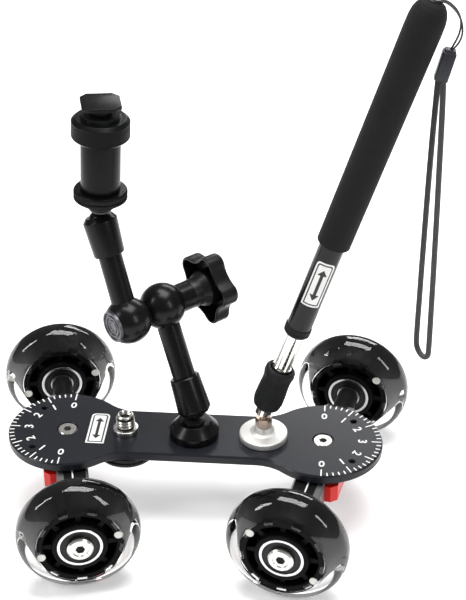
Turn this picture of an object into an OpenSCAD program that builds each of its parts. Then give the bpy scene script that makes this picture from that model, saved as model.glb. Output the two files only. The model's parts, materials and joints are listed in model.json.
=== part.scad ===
// Table-top camera slider: a dog-bone deck on two swivelling wheel trucks, with a jointed
// arm that carries a shoe adapter and a telescopic push handle with a wrist strap.
// The origin is on the floor under the middle of the deck, +X runs along the deck towards
// the handle, +Z is up.

/* [Deck] */
// Distance between the two truck pivots
pivot_gap = 130; // [126:1:140]
// Radius of the deck's round ends
deck_r = 30; // [29:0.5:31]
// Half of the width of the deck's waist
waist = 18; // [16:0.5:20]
// Distance from the deck's middle to where each waist fillet starts
waist_x = 32; // [30:1:34]
// Thickness of the deck plate
deck_t = 5; // [4.5:0.5:5]
// Height of the deck's top face above the floor
deck_top = 42; // [42:0.5:44]
// Distance from the deck's middle to the camera stud, and to the handle on the other side
stud_x = 35; // [34:0.5:37]

/* [Wheels and trucks] */
// Outer radius of a tyre
wheel_r = 30; // [29:0.5:30]
// Width of a tyre
wheel_w = 24; // [23:0.5:24]
// Distance from a truck's pivot to each wheel's middle
wheel_arm = 68; // [68:1:72]
// How far the left truck is turned from square to the deck
left_turn = 13.5; // [-20:0.5:20]
// How far the right truck is turned from square to the deck
right_turn = -12; // [-20:0.5:20]

/* [Arm] */
// Height of the lower ball's centre
arm_ball_z = 58.5; // [58:0.5:60]
// Lean of the lower arm from upright
arm_lean = 25.4; // [0:0.1:30]
// Compass direction in which the lower arm leans
arm_heading = 135; // [100:1:180]
// Turn of the elbow's axis about the lower arm
elbow_roll = -93.2; // [-120:0.1:-60]
// Bend of the upper arm at the elbow
elbow_bend = 3.8; // [-10:0.1:10]
// Length of the lower arm, ball centre to elbow
lower_len = 54.3; // [50:0.1:60]
// Length of the upper arm, elbow to ball centre
upper_len = 50.8; // [46:0.1:60]
// Distance between the two elbow balls
elbow_gap = 20.4; // [19.6:0.1:21]
// Lean of the shoe adapter from upright
head_lean = 3; // [0:0.5:6]

/* [Handle] */
// Height of the handle's ball centre
handle_ball_z = 58.5; // [58:0.5:60]
// Lean of the handle from upright
handle_lean = 18.2; // [10:0.1:25]
// Distance from the handle's ball to the tip of the grip
handle_len = 229.7; // [225:0.1:235]

/* [Hidden] */
$fn = 64;

// Clearances: between faces that slide, round a shaft that turns, and round a loose piece
face_gap = 0.1;
run_gap = 0.07;
loose_gap = 0.35;
// A cut runs this far past the face it opens
past = 1;
// A blind hole runs this far past the end of its screw
hole_spare = 0.6;
// Shapes of one solid reach this far into each other
join = 0.5;
// A screw that comes up through the deck starts this far inside its lower face
deck_screw_start = 0.3;
// Chamfer of the truck beams
beam_edge = 1;

// Threads, drawn at their outer radius: 3/8 inch and 1/4 inch camera threads, M8 and M6
thread_38_r = 4.7625;
thread_14_r = 3.175;
axle_r = 4;
pivot_r = 3;

// Deck outline: each waist fillet touches the straight waist and the round end
deck_low = deck_top - deck_t;
pivot_x = pivot_gap / 2;
fillet_r = (pow(pivot_x - waist_x, 2) + pow(waist, 2) - pow(deck_r, 2)) / (2 * (deck_r - waist));
fillet_y = waist + fillet_r;
touch_x = waist_x + (pivot_x - waist_x) * fillet_r / (deck_r + fillet_r);
touch_y = fillet_y * deck_r / (deck_r + fillet_r);
screw_seat_r = 5.2;
screw_seat_z = deck_top - 3;
screw_head_r = 4.9;
screw_head_edge = 0.4;
screw_head_top = deck_top - 0.3;
screw_hex_r = 2.1;
screw_hex_floor = deck_top - 2.2;
// The fillets and the round ends cross by this much, so that no two faces only touch
fillet_bite = 0.05;
// Small countersunk holes in the deck's round ends
small_hole_at = [15, 16.5];
small_hole_r = 1.5;
small_sink = 0.4;

// Camera stud and the thumbwheel under the deck
stud_h = 10.5;
stud_flange_r = 6.35;
stud_flange_h = 2.6;
stud_hole_r = 2.6;
stud_hole_depth = 8;
stud_shank_r = thread_38_r + 0.18;
stud_flange_edge = 0.5;
stud_lead = 0.6;
thumbwheel_r = 15.5;
thumbwheel_h = 7.6;
thumbwheel_edge = 1;
thumbwheel_groove = 0.8;

// Truck beam, its red side block and the axle
axle_z = wheel_r;
beam_w = 16;
beam_low = axle_z - 5.6;
beam_top = deck_low - 1.2;
beam_half = 39;
spacer_r = 5.5;
bolt_depth = 18;
bolt_hole_spare = 2;
boss_r = 9;
pivot_hole_floor = beam_low + 2;
block_in = beam_w / 2;
block_out = 14;
block_half = 28;
block_low = 26;
block_top = 35;
block_clip = 3;

// Skate wheel: 608 bearings, 22 mm across, 7 mm wide on an 8 mm axle
bearing_r = 11;
bearing_w = 7;
bearing_face = 11.3;
race_in_r = 6.05;
core_r = 21;
core_half = 10.4;
rim_in_r = 17.6;
hub_r = 13.2;
tyre_crown = 11;
tyre_power = 2.6;
notches = 9;
notch_size = [1.8, 5, 5];
ribs = 8;
rib_w = 2.4;
rib_sink = 2;
web_half = 2;
race_wall = 1.6;
shield_sink = 0.4;
shield_t = 0.6;

// Head of an axle bolt: a low round head with a dished face and a hex socket
axle_head_r = 6.3;
axle_head_h = 2;
axle_head_edge = 0.8;
dish_r = 4;
dish_floor_r = 3.6;
dish_depth = 0.6;
axle_hex_r = 2.4;
axle_hex_depth = 2.4;

// Cone under the lower ball
base_r = 12.5;
base_rim_h = 4.2;
base_top_r = 8.2;
base_h = 8.8;

// Ball joints of the arm
ball_r = 6;
neck_r = 2.5;
socket_gap = 0.3;
socket_r = 8.5;
socket_tail_r = 7.6;
socket_tail_edge = 0.6;
socket_mouth = 3.2;
mouth_r = 6.6;
mouth_edge = 2.4;
socket_len = 16.8;
wear_r = 5.4;
wear_t = 0.8;
cup_r = 5.2;
cup_low = 1;
cup_top = 8.5;
rod_seat = 1.2;
tube_r = 5.8;
tube_in_r = 4.2;
tube_start = 10.6;
tube_seat = 7;
rod_r = 3;
rod_stop = 4.6;

// Elbow and its star knob
elbow_r = 11.6;
sleeve_r = 7.3;
sleeve_start = 8;
sleeve_end = 16;
cap_r = 7.9;
cap_seat = -6.6;
cap_cut = -8;
cap_face = -9;
cap_rim_h = 0.6;
cap_rim_w = 2;
cap_button_r = 4.9;
cap_button_h = 0.4;
knob_low = 24.6;
knob_high = 34;
knob_wall = 1.5;
knob_face = 2.2;
knob_hub_r = 9.3;
knob_flare = 4;
lobes = 5;
lobe_r = 5.6;
lobe_at = 13.4;
lobe_turn = 48;
hollow_low = 14.5;
lobe_reach = lobe_at * cos(180 / lobes);
hollow_r = (pow(lobe_r, 2) - pow(lobe_at, 2) - pow(hollow_low, 2) + 2 * lobe_reach * hollow_low)
    / (2 * (hollow_low - lobe_reach - lobe_r));
hollow_at = hollow_low + hollow_r;
bolt_r = 3;
bolt_start = -elbow_gap - 2.8;
bolt_end = knob_low + 6;

// Shoe adapter, measured along its own axis from the ball's centre
flange_low = 12.3;
flange_high = 18.1;
flange_r = 12.9;
flange_edge = 1;
flange_foot_edge = [1.6, 1.2];
flange_groove = 2.9;
groove_half = 0.5;
groove_depth = 0.7;
collar_low = 7.7;
collar_foot_r = 5.6;
collar_edge_z = 9;
collar_r = 7;
screw_reach = 11;
body_r = 9.5;
body_edge = 0.4;
ring_low = 44.4;
ring_high = 55.3;
ring_r = 13.8;
ring_edge = [1.8, 1.6];
ring_boss = 56.4;
washer_r = 8.9;
washer_high = 57.3;
stem_r = 5.5;
foot_low = 61.3;
foot_high = 63.3;
foot_w = 18.6;
foot_d = 18;
foot_clip = 3.2;
foot_turn = 14;

// Telescopic handle, measured along its own axis from the ball's centre
hball_r = 3.2;
hneck_r = 1.6;
hcup_r = 4.2;
hcup_low = -1.5;
hcup_high = 5.2;
hcup_stem_r = 2.6;
hcup_stem_end = 11;
hex_r = 4.2;
hex_high = 54.8;
disc_r = 12.25;
disc_h = 3.4;
disc_edge = 0.3;
disc_dome_r = 6.8;
disc_dome_h = 0.5;
disc_hub_r = 5.2;
disc_hub_h = 1.2;
disc_hub_top_r = 4.4;
disc_hub_z = 49.5;
sleeve_low = 2.6;
sleeve_high = 27.6;
sleeve_cup_end = 5.8;
sleeve_stem_end = 11.4;
inner_r = 3.4;
inner_wall = 0.5;
inner_start = 12.2;
inner_end = 150;
middle_r = 4.35;
ferrule_r = 4.95;
ferrule_h = 6.5;
ferrule_edge = [0.5, 0.7];
middle_start = 23;
middle_end = 172;
outer_r = 6.1;
outer_wall = 0.8;
outer_start = 52;
outer_end = 221;
end_ring_start = 49.4;
end_ring_end = 54.8;
end_ring_edge = [0.6, 1];
end_ring_r = 6.5;
foam_start = 102.6;
foam_hole_r = 3.3;
plug_depth = 6;
cap_tip = 0.8;

// Where the joints are
function lean(tilt, heading) = [sin(tilt) * cos(heading), sin(tilt) * sin(heading), cos(tilt)];
arm_dir = lean(arm_lean, arm_heading);
arm_side = lean(arm_lean + 90, arm_heading);
elbow_axis = cos(elbow_roll) * arm_side + sin(elbow_roll) * cross(arm_dir, arm_side);
upper_dir = cos(elbow_bend) * arm_dir + sin(elbow_bend) * cross(elbow_axis, arm_dir);
lower_ball = [0, 0, arm_ball_z];
lower_elbow = lower_ball + lower_len * arm_dir;
upper_elbow = lower_elbow - elbow_gap * elbow_axis;
upper_ball = upper_elbow + upper_len * upper_dir;
head_dir = lean(head_lean, 0);
handle_ball = [stud_x, 0, handle_ball_z];
handle_dir = lean(handle_lean, 0);

// Wrist strap. A doubled thin string leaves the grip's cap and bends down to the connector;
// the strap hangs from the connector as one narrow loop.
string_d = 0.9;
string_path = [[107.6, -0.55, 275.6], [109.4, -0.55, 276.2], [111.6, -0.55, 275.8],
    [114, -0.55, 274.2], [116.4, -0.55, 271.6], [118.3, -0.6, 268.2], [119.2, -0.6, 264.4],
    [119.1, -0.6, 260.8], [117.9, -0.6, 257.6], [116.2, -0.5, 255.2], [114.9, -0.5, 253.6]];
string_back = [[107.6, 0.55, 275.6], [109.3, 0.55, 276.4], [111.5, 0.55, 276.2],
    [113.9, 0.55, 274.8], [116.2, 0.55, 272.4], [117.9, 0.6, 269.2], [118.5, 0.6, 265.4],
    [118, 0.6, 261.6], [116.9, 0.6, 258.4], [115.7, 0.55, 255.8], [114.7, 0.5, 253.6]];
strap_d = 2.8;
strap_path = [[112.5, -1.2, 240.6], [112.7, -1.6, 236], [112.9, -2.2, 228],
    [113.1, -2.8, 216], [113.3, -3.3, 200], [113.6, -3.8, 180], [113.8, -4.2, 160],
    [114, -4.5, 140], [114.1, -4.8, 124], [114.2, -4.9, 112], [114.2, -4.9, 101.1],
    [113.7, -4, 97.8], [112.3, -1.6, 95.8], [110.5, 1.5, 95.8], [109.1, 3.9, 97.8],
    [108.6, 4.8, 101.1], [108.6, 4.8, 112], [108.7, 4.7, 124], [108.8, 4.4, 140],
    [109, 4.1, 160], [109.2, 3.7, 180], [109.5, 3.2, 200], [109.8, 2.7, 216],
    [110.1, 2.1, 228], [110.3, 1.5, 236], [110.5, 1.1, 240.6]];
connector_top = [114.9, 0, 254.6];
connector_foot = [111.3, 0, 240.2];
connector_size = [6.2, 5.6];
connector_edge = 1;

// ---- shared shapes ----

// Puts a shape drawn along +Z onto the line from p in the direction d
module along(p, d) {
    translate(p) rotate([0, acos(d[2]), atan2(d[1], d[0])]) children();
}

module turned(points) {
    rotate_extrude() polygon(points);
}

module bore(r, from, to) {
    translate([0, 0, from]) cylinder(r = r, h = to - from);
}

module pipe(r_out, r_in, from, to) {
    difference() {
        bore(r_out, from, to);
        bore(r_in, from - past, to + past);
    }
}

// A sweep of a round section along a route: one closed solid
function unit(v) = v / norm(v);
function heading_at(path, i) =
    unit(path[min(i + 1, len(path) - 1)] - path[max(i - 1, 0)]);
module sweep(path, d, sides = 8) {
    rings = len(path);
    flat = [for (i = [0 : rings - 1]) let (
            t = heading_at(path, i),
            u = unit(cross(t, [0.27, 0.96, 0.02])),
            w = cross(t, u))
        for (k = [0 : sides - 1])
            path[i] + d / 2 * (cos(360 * k / sides) * u + sin(360 * k / sides) * w)];
    walls = [for (i = [0 : rings - 2], k = [0 : sides - 1]) let (n = (k + 1) % sides)
        [i * sides + k, (i + 1) * sides + k, (i + 1) * sides + n, i * sides + n]];
    start = [for (k = [0 : sides - 1]) k];
    end = [for (k = [sides - 1 : -1 : 0]) (rings - 1) * sides + k];
    polyhedron(flat, concat([start, end], walls), convexity = 6);
}

// ---- deck ----

// The plate's outline: two round ends, a straight waist and four fillets
module deck_outline() {
    for (s = [-1, 1]) translate([s * pivot_x, 0]) circle(deck_r);
    difference() {
        square([2 * touch_x, 2 * touch_y], center = true);
        square([2 * waist_x, 4 * deck_r], center = true);
        for (s = [-1, 1], t = [-1, 1]) translate([s * waist_x, t * fillet_y])
            circle(fillet_r + fillet_bite);
    }
    square([2 * (waist_x + deck_t), 2 * waist], center = true);
}

module small_hole() {
    r = small_hole_r;
    turned([[0, -past], [r, -past], [r, deck_t - small_sink],
        [r + small_sink + past, deck_t + past], [0, deck_t + past]]);
}

module deck_plate() {
    color("#24262b") translate([0, 0, deck_low]) difference() {
        linear_extrude(deck_t) deck_outline();
        for (s = [-1, 1]) translate([s * pivot_x, 0, 0]) {
            bore(pivot_r + run_gap, -past, deck_t + past);
            bore(screw_seat_r, screw_seat_z - deck_low, deck_t + past);
            for (t = [-1, 1]) translate([s * small_hole_at[0], t * small_hole_at[1], 0])
                small_hole();
        }
        translate([-stud_x, 0, 0]) bore(stud_shank_r + run_gap, -past, deck_t + past);
        bore(thread_14_r, -past, deck_t + past);
        translate([stud_x, 0, 0]) bore(thread_14_r + run_gap, -past, deck_t + past);
    }
}

module camera_stud() {
    top = deck_top + stud_h;
    flange = deck_top + face_gap;
    color("#c9c9cc") translate([-stud_x, 0, 0]) difference() {
        union() {
            bore(stud_shank_r, deck_low - thumbwheel_h, flange + past);
            turned([[0, flange], [stud_flange_r, flange],
                [stud_flange_r, flange + stud_flange_h - stud_flange_edge],
                [stud_flange_r - stud_flange_edge, flange + stud_flange_h],
                [0, flange + stud_flange_h]]);
            turned([[0, flange], [thread_38_r, flange], [thread_38_r, top - stud_lead],
                [thread_38_r - stud_lead, top], [0, top]]);
        }
        bore(stud_hole_r, top - stud_hole_depth, top + past);
    }
}

module stud_thumbwheel() {
    low = deck_low - face_gap - thumbwheel_h;
    high = deck_low - face_gap;
    r = thumbwheel_r;
    e = thumbwheel_edge;
    mid = (low + high) / 2;
    color("#1b1b1d") translate([-stud_x, 0, 0]) difference() {
        turned([[0, low], [r - e, low], [r, low + e], [r, mid - thumbwheel_groove],
            [r - e, mid], [r, mid + thumbwheel_groove], [r, high - e], [r - e, high],
            [0, high]]);
        bore(stud_shank_r, low - past, high + past);
    }
}

// ---- trucks: side is -1 for the left one and 1 for the right one ----

function turn_of(side) = side < 0 ? left_turn : right_turn;
module on_truck(side) {
    translate([side * pivot_x, 0, 0]) rotate([0, 0, turn_of(side)]) children();
}

// Both ends of a truck: z runs outwards along the axle from the pivot
module both_axles() {
    for (a = [0, 180]) translate([0, 0, axle_z]) rotate([90, 0, a]) children();
}

module truck_beam(side) {
    w = beam_w / 2;
    e = beam_edge;
    color("#8f9092") on_truck(side) difference() {
        union() {
            rotate([90, 0, 0]) linear_extrude(2 * beam_half, center = true)
                polygon([[-w + e, beam_low], [w - e, beam_low], [w, beam_low + e],
                    [w, beam_top - e], [w - e, beam_top], [-w + e, beam_top],
                    [-w, beam_top - e], [-w, beam_low + e]]);
            bore(boss_r, beam_top - past, deck_low - face_gap);
        }
        bore(pivot_r, pivot_hole_floor, deck_low + past);
        both_axles() bore(axle_r, beam_half - bolt_depth - bolt_hole_spare, wheel_arm);
    }
}

module side_block(side) {
    c = block_clip;
    x1 = side * block_in;
    x2 = side * block_out;
    xc = side * (block_out - c);
    color("#b3201c") on_truck(side) translate([0, 0, block_low])
        linear_extrude(block_top - block_low)
            polygon([[x1, -block_half], [xc, -block_half], [x2, c - block_half],
                [x2, block_half - c], [xc, block_half], [x1, block_half]]);
}

module pivot_screw(side) {
    head_z = screw_seat_z + face_gap;
    color("#cfcdcb") on_truck(side) difference() {
        union() {
            bore(pivot_r, pivot_hole_floor + hole_spare, head_z + past);
            turned([[0, head_z], [screw_head_r, head_z],
                [screw_head_r, screw_head_top - screw_head_edge],
                [screw_head_r - screw_head_edge, screw_head_top], [0, screw_head_top]]);
        }
        translate([0, 0, screw_hex_floor])
            cylinder(r = screw_hex_r, h = deck_top - screw_hex_floor + past, $fn = 6);
    }
}

module axle_bolts(side) {
    head = wheel_arm + bearing_face + face_gap;
    top = head + axle_head_h;
    r = axle_head_r;
    e = axle_head_edge;
    color("#c4c4c4") on_truck(side) both_axles() difference() {
        union() {
            bore(axle_r, beam_half - bolt_depth, head + past);
            turned([[0, head], [r, head], [r, top - e], [r - e, top], [dish_r, top],
                [dish_floor_r, top - dish_depth], [0, top - dish_depth]]);
        }
        translate([0, 0, top - dish_depth - axle_hex_depth])
            cylinder(r = axle_hex_r, h = axle_hex_depth + dish_depth + past, $fn = 6);
    }
}

module axle_spacers(side) {
    color("#1c1c1d") on_truck(side) both_axles()
        pipe(spacer_r, axle_r, beam_half, wheel_arm - bearing_face);
}

module inner_races(side) {
    color("#9a9a9c") on_truck(side) both_axles() {
        for (s = [-1, 1])
            translate([0, 0, wheel_arm + s * (bearing_face - bearing_w / 2)])
                pipe(race_in_r, axle_r, -bearing_w / 2, bearing_w / 2);
    }
}

// ---- wheels: row is -1 for the front one and 1 for the rear one ----

module on_wheel(side, row) {
    on_truck(side) translate([0, 0, axle_z]) rotate([90, 0, row < 0 ? 0 : 180])
        translate([0, 0, wheel_arm]) children();
}

// The tyre's crown falls away from its middle by a power law
function crown(s) = wheel_r - tyre_crown * pow(abs(s) / (wheel_w / 2), tyre_power);
tyre_steps = 10;
tyre_edge = wheel_w / 2 * pow((wheel_r - core_r) / tyre_crown, 1 / tyre_power);
module tyre(side, row) {
    color("#c8c8bd", 0.5) on_wheel(side, row) difference() {
        turned(concat([[0, -tyre_edge]],
            [for (i = [-tyre_steps : tyre_steps]) let (s = tyre_edge * i / tyre_steps)
                [crown(s), s]],
            [[0, tyre_edge]]));
        bore(core_r, -wheel_w, wheel_w);
    }
}

module core(side, row) {
    color("#161616") on_wheel(side, row) difference() {
        union() {
            pipe(core_r, rim_in_r, -core_half, core_half);
            pipe(hub_r, bearing_r - race_wall + face_gap, -bearing_face, bearing_face);
            pipe(rim_in_r + join, hub_r - join, -web_half, web_half);
            for (k = [0 : ribs - 1]) rotate([0, 0, k * 360 / ribs])
                translate([(rim_in_r + hub_r) / 2, 0, 0])
                    cube([rim_in_r - hub_r + 2 * join, rib_w, 2 * (core_half - rib_sink)],
                        center = true);
        }
        for (s = [-1, 1]) translate([0, 0, s * bearing_face])
            bore(bearing_r, -bearing_w, bearing_w);
        for (k = [0 : notches - 1], s = [-1, 1]) rotate([0, 0, k * 360 / notches])
            translate([core_r, 0, s * (core_half + past)])
                cube([2 * notch_size[0], notch_size[1], 2 * (notch_size[2] + past)],
                    center = true);
    }
}

module outer_races(side, row) {
    half = bearing_w / 2;
    wall = race_wall;
    shield = race_in_r + face_gap;
    out = half - shield_sink;
    color("#bdbdbf") on_wheel(side, row) for (s = [0, 180]) rotate([s, 0, 0])
        translate([0, 0, bearing_face - half])
            turned([[bearing_r - wall, -half], [bearing_r, -half], [bearing_r, half],
                [bearing_r - wall, half], [bearing_r - wall, out], [shield, out],
                [shield, out - shield_t], [bearing_r - wall, out - shield_t]]);
}

// ---- arm ----

module arm_base() {
    top = deck_top + base_h;
    color("#161617") turned([[thread_14_r, deck_top], [base_r, deck_top],
        [base_r, deck_top + base_rim_h], [base_top_r, top], [thread_14_r, top]]);
}

module lower_ball_stud() {
    color("#9c9c9e") union() {
        bore(thread_14_r, deck_low + deck_screw_start, deck_top + base_h);
        bore(neck_r, deck_top, arm_ball_z);
        translate(lower_ball) sphere(ball_r);
    }
}

module wear_ring() {
    color("#d8d2c0") pipe(wear_r, neck_r + run_gap, ball_r + wear_t, ball_r + 2 * wear_t);
}

module lower_wear_ring() {
    along(lower_ball, [0, 0, -1]) wear_ring();
}

// Pressure cup that a push rod presses on a ball; z runs from the ball into the arm
module cup() {
    color("#b59a4a") difference() {
        bore(cup_r, cup_low, cup_top);
        sphere(ball_r + face_gap);
        bore(rod_r + face_gap, cup_top - rod_seat, cup_top + past);
    }
}

// Ball socket; z runs from the ball into the arm
module socket() {
    color("#17171a") difference() {
        turned([[0, -socket_mouth], [mouth_r, -socket_mouth],
            [socket_r, mouth_edge - socket_mouth],
            [socket_tail_r, socket_len - socket_tail_edge],
            [socket_tail_r - socket_tail_edge, socket_len], [0, socket_len]]);
        sphere(ball_r + socket_gap);
        bore(cup_r + run_gap, 0, tube_start);
        bore(tube_r, tube_start, socket_len + past);
    }
}

module arm_tube(length) {
    color("#1a1b1e") pipe(tube_r, tube_in_r, tube_start, length - tube_seat);
}

module pushrod(length) {
    color("#a9a9ab") bore(rod_r, cup_top - rod_seat + face_gap, length - rod_stop);
}

// One elbow ball round the point where an arm meets the elbow's axis. It is drawn along that
// axis and cut where the two balls face each other.
module elbow_ball(p, arm, near_cut, far_cut) {
    difference() {
        along(p, elbow_axis) intersection() {
            sphere(elbow_r);
            bore(elbow_r + past, near_cut, far_cut);
        }
        along(p, elbow_axis) bore(bolt_r + run_gap, -elbow_r - past, elbow_r + past);
        along(p, arm) bore(tube_r, tube_seat, elbow_r + past);
        along(p, arm) bore(rod_r + face_gap, 0, elbow_r + past);
    }
}

module lower_cup() {
    along(lower_ball, arm_dir) cup();
}

module lower_socket() {
    along(lower_ball, arm_dir) socket();
}

module lower_tube() {
    along(lower_ball, arm_dir) arm_tube(lower_len);
}

module lower_pushrod() {
    along(lower_ball, arm_dir) pushrod(lower_len);
}

module elbow_ball_lower() {
    color("#161618") union() {
        elbow_ball(lower_elbow, -arm_dir, face_gap - elbow_gap / 2, elbow_r);
        along(lower_elbow, elbow_axis) pipe(sleeve_r, bolt_r + run_gap, sleeve_start, sleeve_end);
    }
}

module knob_bolt() {
    color("#a9a9ab") along(lower_elbow, elbow_axis)
        bore(bolt_r, bolt_start, bolt_end);
}

// Lobes with hollows between them: each hollow's circle touches the two lobes beside it
module star(inset) {
    step = 360 / lobes;
    difference() {
        union() {
            polygon([for (k = [0 : lobes - 1], p = [[lobe_at, 0], [hollow_at, step / 2]])
                p[0] * [cos(k * step + p[1]), sin(k * step + p[1])]]);
            for (k = [0 : lobes - 1]) rotate(k * step) translate([lobe_at, 0])
                circle(lobe_r - inset);
        }
        for (k = [0 : lobes - 1]) rotate((k + 0.5) * step) translate([hollow_at, 0])
            circle(hollow_r + inset);
    }
}

// The knob is a star-shaped shell, open towards the elbow, with a hub in its middle
module star_knob() {
    hub = sleeve_end + face_gap;
    inside = knob_high - knob_face;
    color("#1a1a1b") along(lower_elbow, elbow_axis) difference() {
        union() {
            difference() {
                rotate([0, 0, lobe_turn]) translate([0, 0, knob_low])
                    linear_extrude(knob_high - knob_low) star(0);
                rotate([0, 0, lobe_turn]) translate([0, 0, knob_low - past])
                    linear_extrude(inside - knob_low + past) star(knob_wall);
            }
            turned([[0, hub], [sleeve_r, hub], [sleeve_r, knob_low - knob_flare],
                [knob_hub_r, knob_low], [knob_hub_r, inside + past], [0, inside + past]]);
        }
        bore(bolt_r, hub - past, bolt_end);
    }
}

module elbow_ball_upper() {
    color("#161618") difference() {
        elbow_ball(upper_elbow, upper_dir, cap_cut, elbow_gap / 2 - face_gap);
        along(upper_elbow, elbow_axis) bore(cap_r, -elbow_r, cap_seat);
    }
}

module elbow_end_cap() {
    r = cap_r;
    f = cap_face;
    h = cap_rim_h;
    b = cap_button_h;
    color("#55565a") along(upper_elbow, elbow_axis)
        turned([[0, cap_seat], [r, cap_seat], [r, f], [r - h, f - h], [r - cap_rim_w, f - h],
            [r - cap_rim_w - b, f], [cap_button_r, f], [cap_button_r - b, f - b], [0, f - b]]);
}

module upper_tube() {
    along(upper_ball, -upper_dir) arm_tube(upper_len);
}

module upper_pushrod() {
    along(upper_ball, -upper_dir) pushrod(upper_len);
}

module upper_socket() {
    along(upper_ball, -upper_dir) socket();
}

module upper_cup() {
    along(upper_ball, -upper_dir) cup();
}

module upper_wear_ring() {
    along(upper_ball, head_dir) wear_ring();
}

// ---- shoe adapter, drawn along its own axis from the upper ball ----

module upper_ball_stud() {
    color("#9c9c9e") along(upper_ball, head_dir) union() {
        sphere(ball_r);
        bore(neck_r, 0, collar_edge_z);
        turned([[0, collar_low], [collar_foot_r, collar_low], [collar_r, collar_edge_z],
            [collar_r, flange_low - face_gap], [0, flange_low - face_gap]]);
        bore(thread_14_r, flange_low - past, flange_high + screw_reach);
    }
}

module lock_flange() {
    r = flange_r;
    lo = flange_low;
    hi = flange_high;
    e = flange_edge;
    foot = flange_foot_edge;
    mid = lo + flange_groove;
    color("#1d1d1e") along(upper_ball, head_dir)
        turned([[thread_14_r + run_gap, lo], [r - foot[0], lo], [r, lo + foot[1]],
            [r, mid - groove_half], [r - groove_depth, mid], [r, mid + groove_half],
            [r, hi - e], [r - e, hi], [thread_14_r + run_gap, hi]]);
}

module shoe_body() {
    lo = flange_high + face_gap;
    hi = ring_low - face_gap;
    w = foot_w / 2;
    d = foot_d / 2;
    c = foot_clip;
    e = body_edge;
    color("#1b1b1c") along(upper_ball, head_dir) difference() {
        union() {
            turned([[0, lo], [body_r - e, lo], [body_r, lo + e], [body_r, hi - e],
                [body_r - e, hi], [0, hi]]);
            bore(stem_r, hi - past, foot_low + past);
            translate([0, 0, foot_low]) rotate([0, 0, foot_turn])
                linear_extrude(foot_high - foot_low)
                polygon([[-w + c, -d], [w - c, -d], [w, c - d], [w, d - c], [w - c, d],
                    [-w + c, d], [-w, d - c], [-w, c - d]]);
        }
        bore(thread_14_r, lo - past, flange_high + screw_reach + hole_spare);
    }
}

module thumb_ring() {
    r = ring_r;
    lo = ring_low;
    hi = ring_high;
    e = ring_edge;
    color("#1d1d1e") along(upper_ball, head_dir)
        turned([[stem_r + run_gap, lo], [r - e[0], lo], [r, lo + e[1]], [r, hi - e[1]],
            [r - e[0], hi], [body_r, hi], [body_r, ring_boss - body_edge],
            [body_r - body_edge, ring_boss], [stem_r + run_gap, ring_boss]]);
}

module shoe_washer() {
    color("#3a3a3c") along(upper_ball, head_dir)
        pipe(washer_r, stem_r + run_gap, ring_boss + face_gap, washer_high);
}

// ---- handle ----

module handle_disc() {
    lo = deck_top + face_gap;
    hi = lo + disc_h;
    r = disc_r;
    e = disc_edge;
    color("#d6d6d8") translate([stud_x, 0, 0])
        turned([[thread_14_r, lo], [r - e, lo], [r, lo + e], [r, hi - e], [r - e, hi],
            [disc_dome_r, hi + disc_dome_h], [disc_hub_r, hi + disc_hub_h],
            [disc_hub_top_r, disc_hub_z], [thread_14_r, disc_hub_z]]);
}

module handle_ball_stud() {
    color("#b79f63") translate([stud_x, 0, 0]) union() {
        bore(thread_14_r, deck_low + deck_screw_start, disc_hub_z + join);
        translate([0, 0, disc_hub_z]) cylinder(r = hex_r, h = hex_high - disc_hub_z, $fn = 6);
        bore(hneck_r, hex_high - past, handle_ball_z);
        translate([0, 0, handle_ball_z]) sphere(hball_r);
    }
}

module on_handle() {
    along(handle_ball, handle_dir) children();
}

module handle_socket() {
    r = hcup_r;
    e = disc_edge;
    color("#cfd0d2") on_handle() difference() {
        turned([[0, hcup_low], [r - e, hcup_low], [r, hcup_low + e], [r, hcup_high],
            [hcup_stem_r, hcup_high], [hcup_stem_r, hcup_stem_end], [0, hcup_stem_end]]);
        sphere(hball_r + face_gap);
    }
}

module rubber_sleeve() {
    lo = sleeve_low;
    hi = sleeve_high;
    color("#202022") on_handle() difference() {
        turned([[0, lo], [4.9, lo], [6.7, lo + 1.6], [7.5, lo + 5], [7.4, lo + 10],
            [7, lo + 17], [7.3, hi - 5], [7.6, hi - 3.4], [7.4, hi - 1], [6.6, hi], [0, hi]]);
        bore(hcup_r + loose_gap, lo - past, sleeve_cup_end);
        bore(hcup_stem_r + run_gap, lo, sleeve_stem_end);
        bore(inner_r, inner_start, hi + past);
        bore(ferrule_r + loose_gap, middle_start - hole_spare, hi + past);
    }
}

module inner_tube() {
    color("#d2d2d4") on_handle() pipe(inner_r, inner_r - inner_wall, inner_start, inner_end);
}

module middle_tube() {
    s = middle_start;
    top = s + ferrule_h;
    color("#c8c8ca") on_handle() difference() {
        union() {
            bore(middle_r, s, middle_end);
            turned([[0, s], [ferrule_r, s], [ferrule_r, top - ferrule_edge[1]],
                [ferrule_r - ferrule_edge[0], top], [0, top]]);
        }
        bore(inner_r + loose_gap, s - past, middle_end + past);
    }
}

module outer_tube() {
    color("#141415") on_handle() pipe(outer_r, outer_r - outer_wall, outer_start, outer_end);
}

module end_ring() {
    s = end_ring_start;
    r = end_ring_r;
    e = end_ring_edge;
    color("#222224") on_handle()
        turned([[middle_r + run_gap, s], [outer_r - e[0], s], [r, s + e[1]],
            [r, end_ring_end - e[1]], [outer_r, end_ring_end], [outer_r, outer_start],
            [middle_r + run_gap, outer_start]]);
}

module foam_grip() {
    e = handle_len;
    color("#1e1f20") on_handle() difference() {
        turned([[0, foam_start], [7.6, foam_start], [8.1, foam_start + 0.6],
            [8.3, foam_start + 50], [8.6, e - 14], [8.5, e - 9], [8, e - 6], [7.1, e - 3.6],
            [5.8, e - 1.7], [4, e - 0.5], [2.6, e], [0, e]]);
        bore(outer_r, foam_start - past, outer_end);
        bore(foam_hole_r, outer_end - past, e + past);
    }
}

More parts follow.
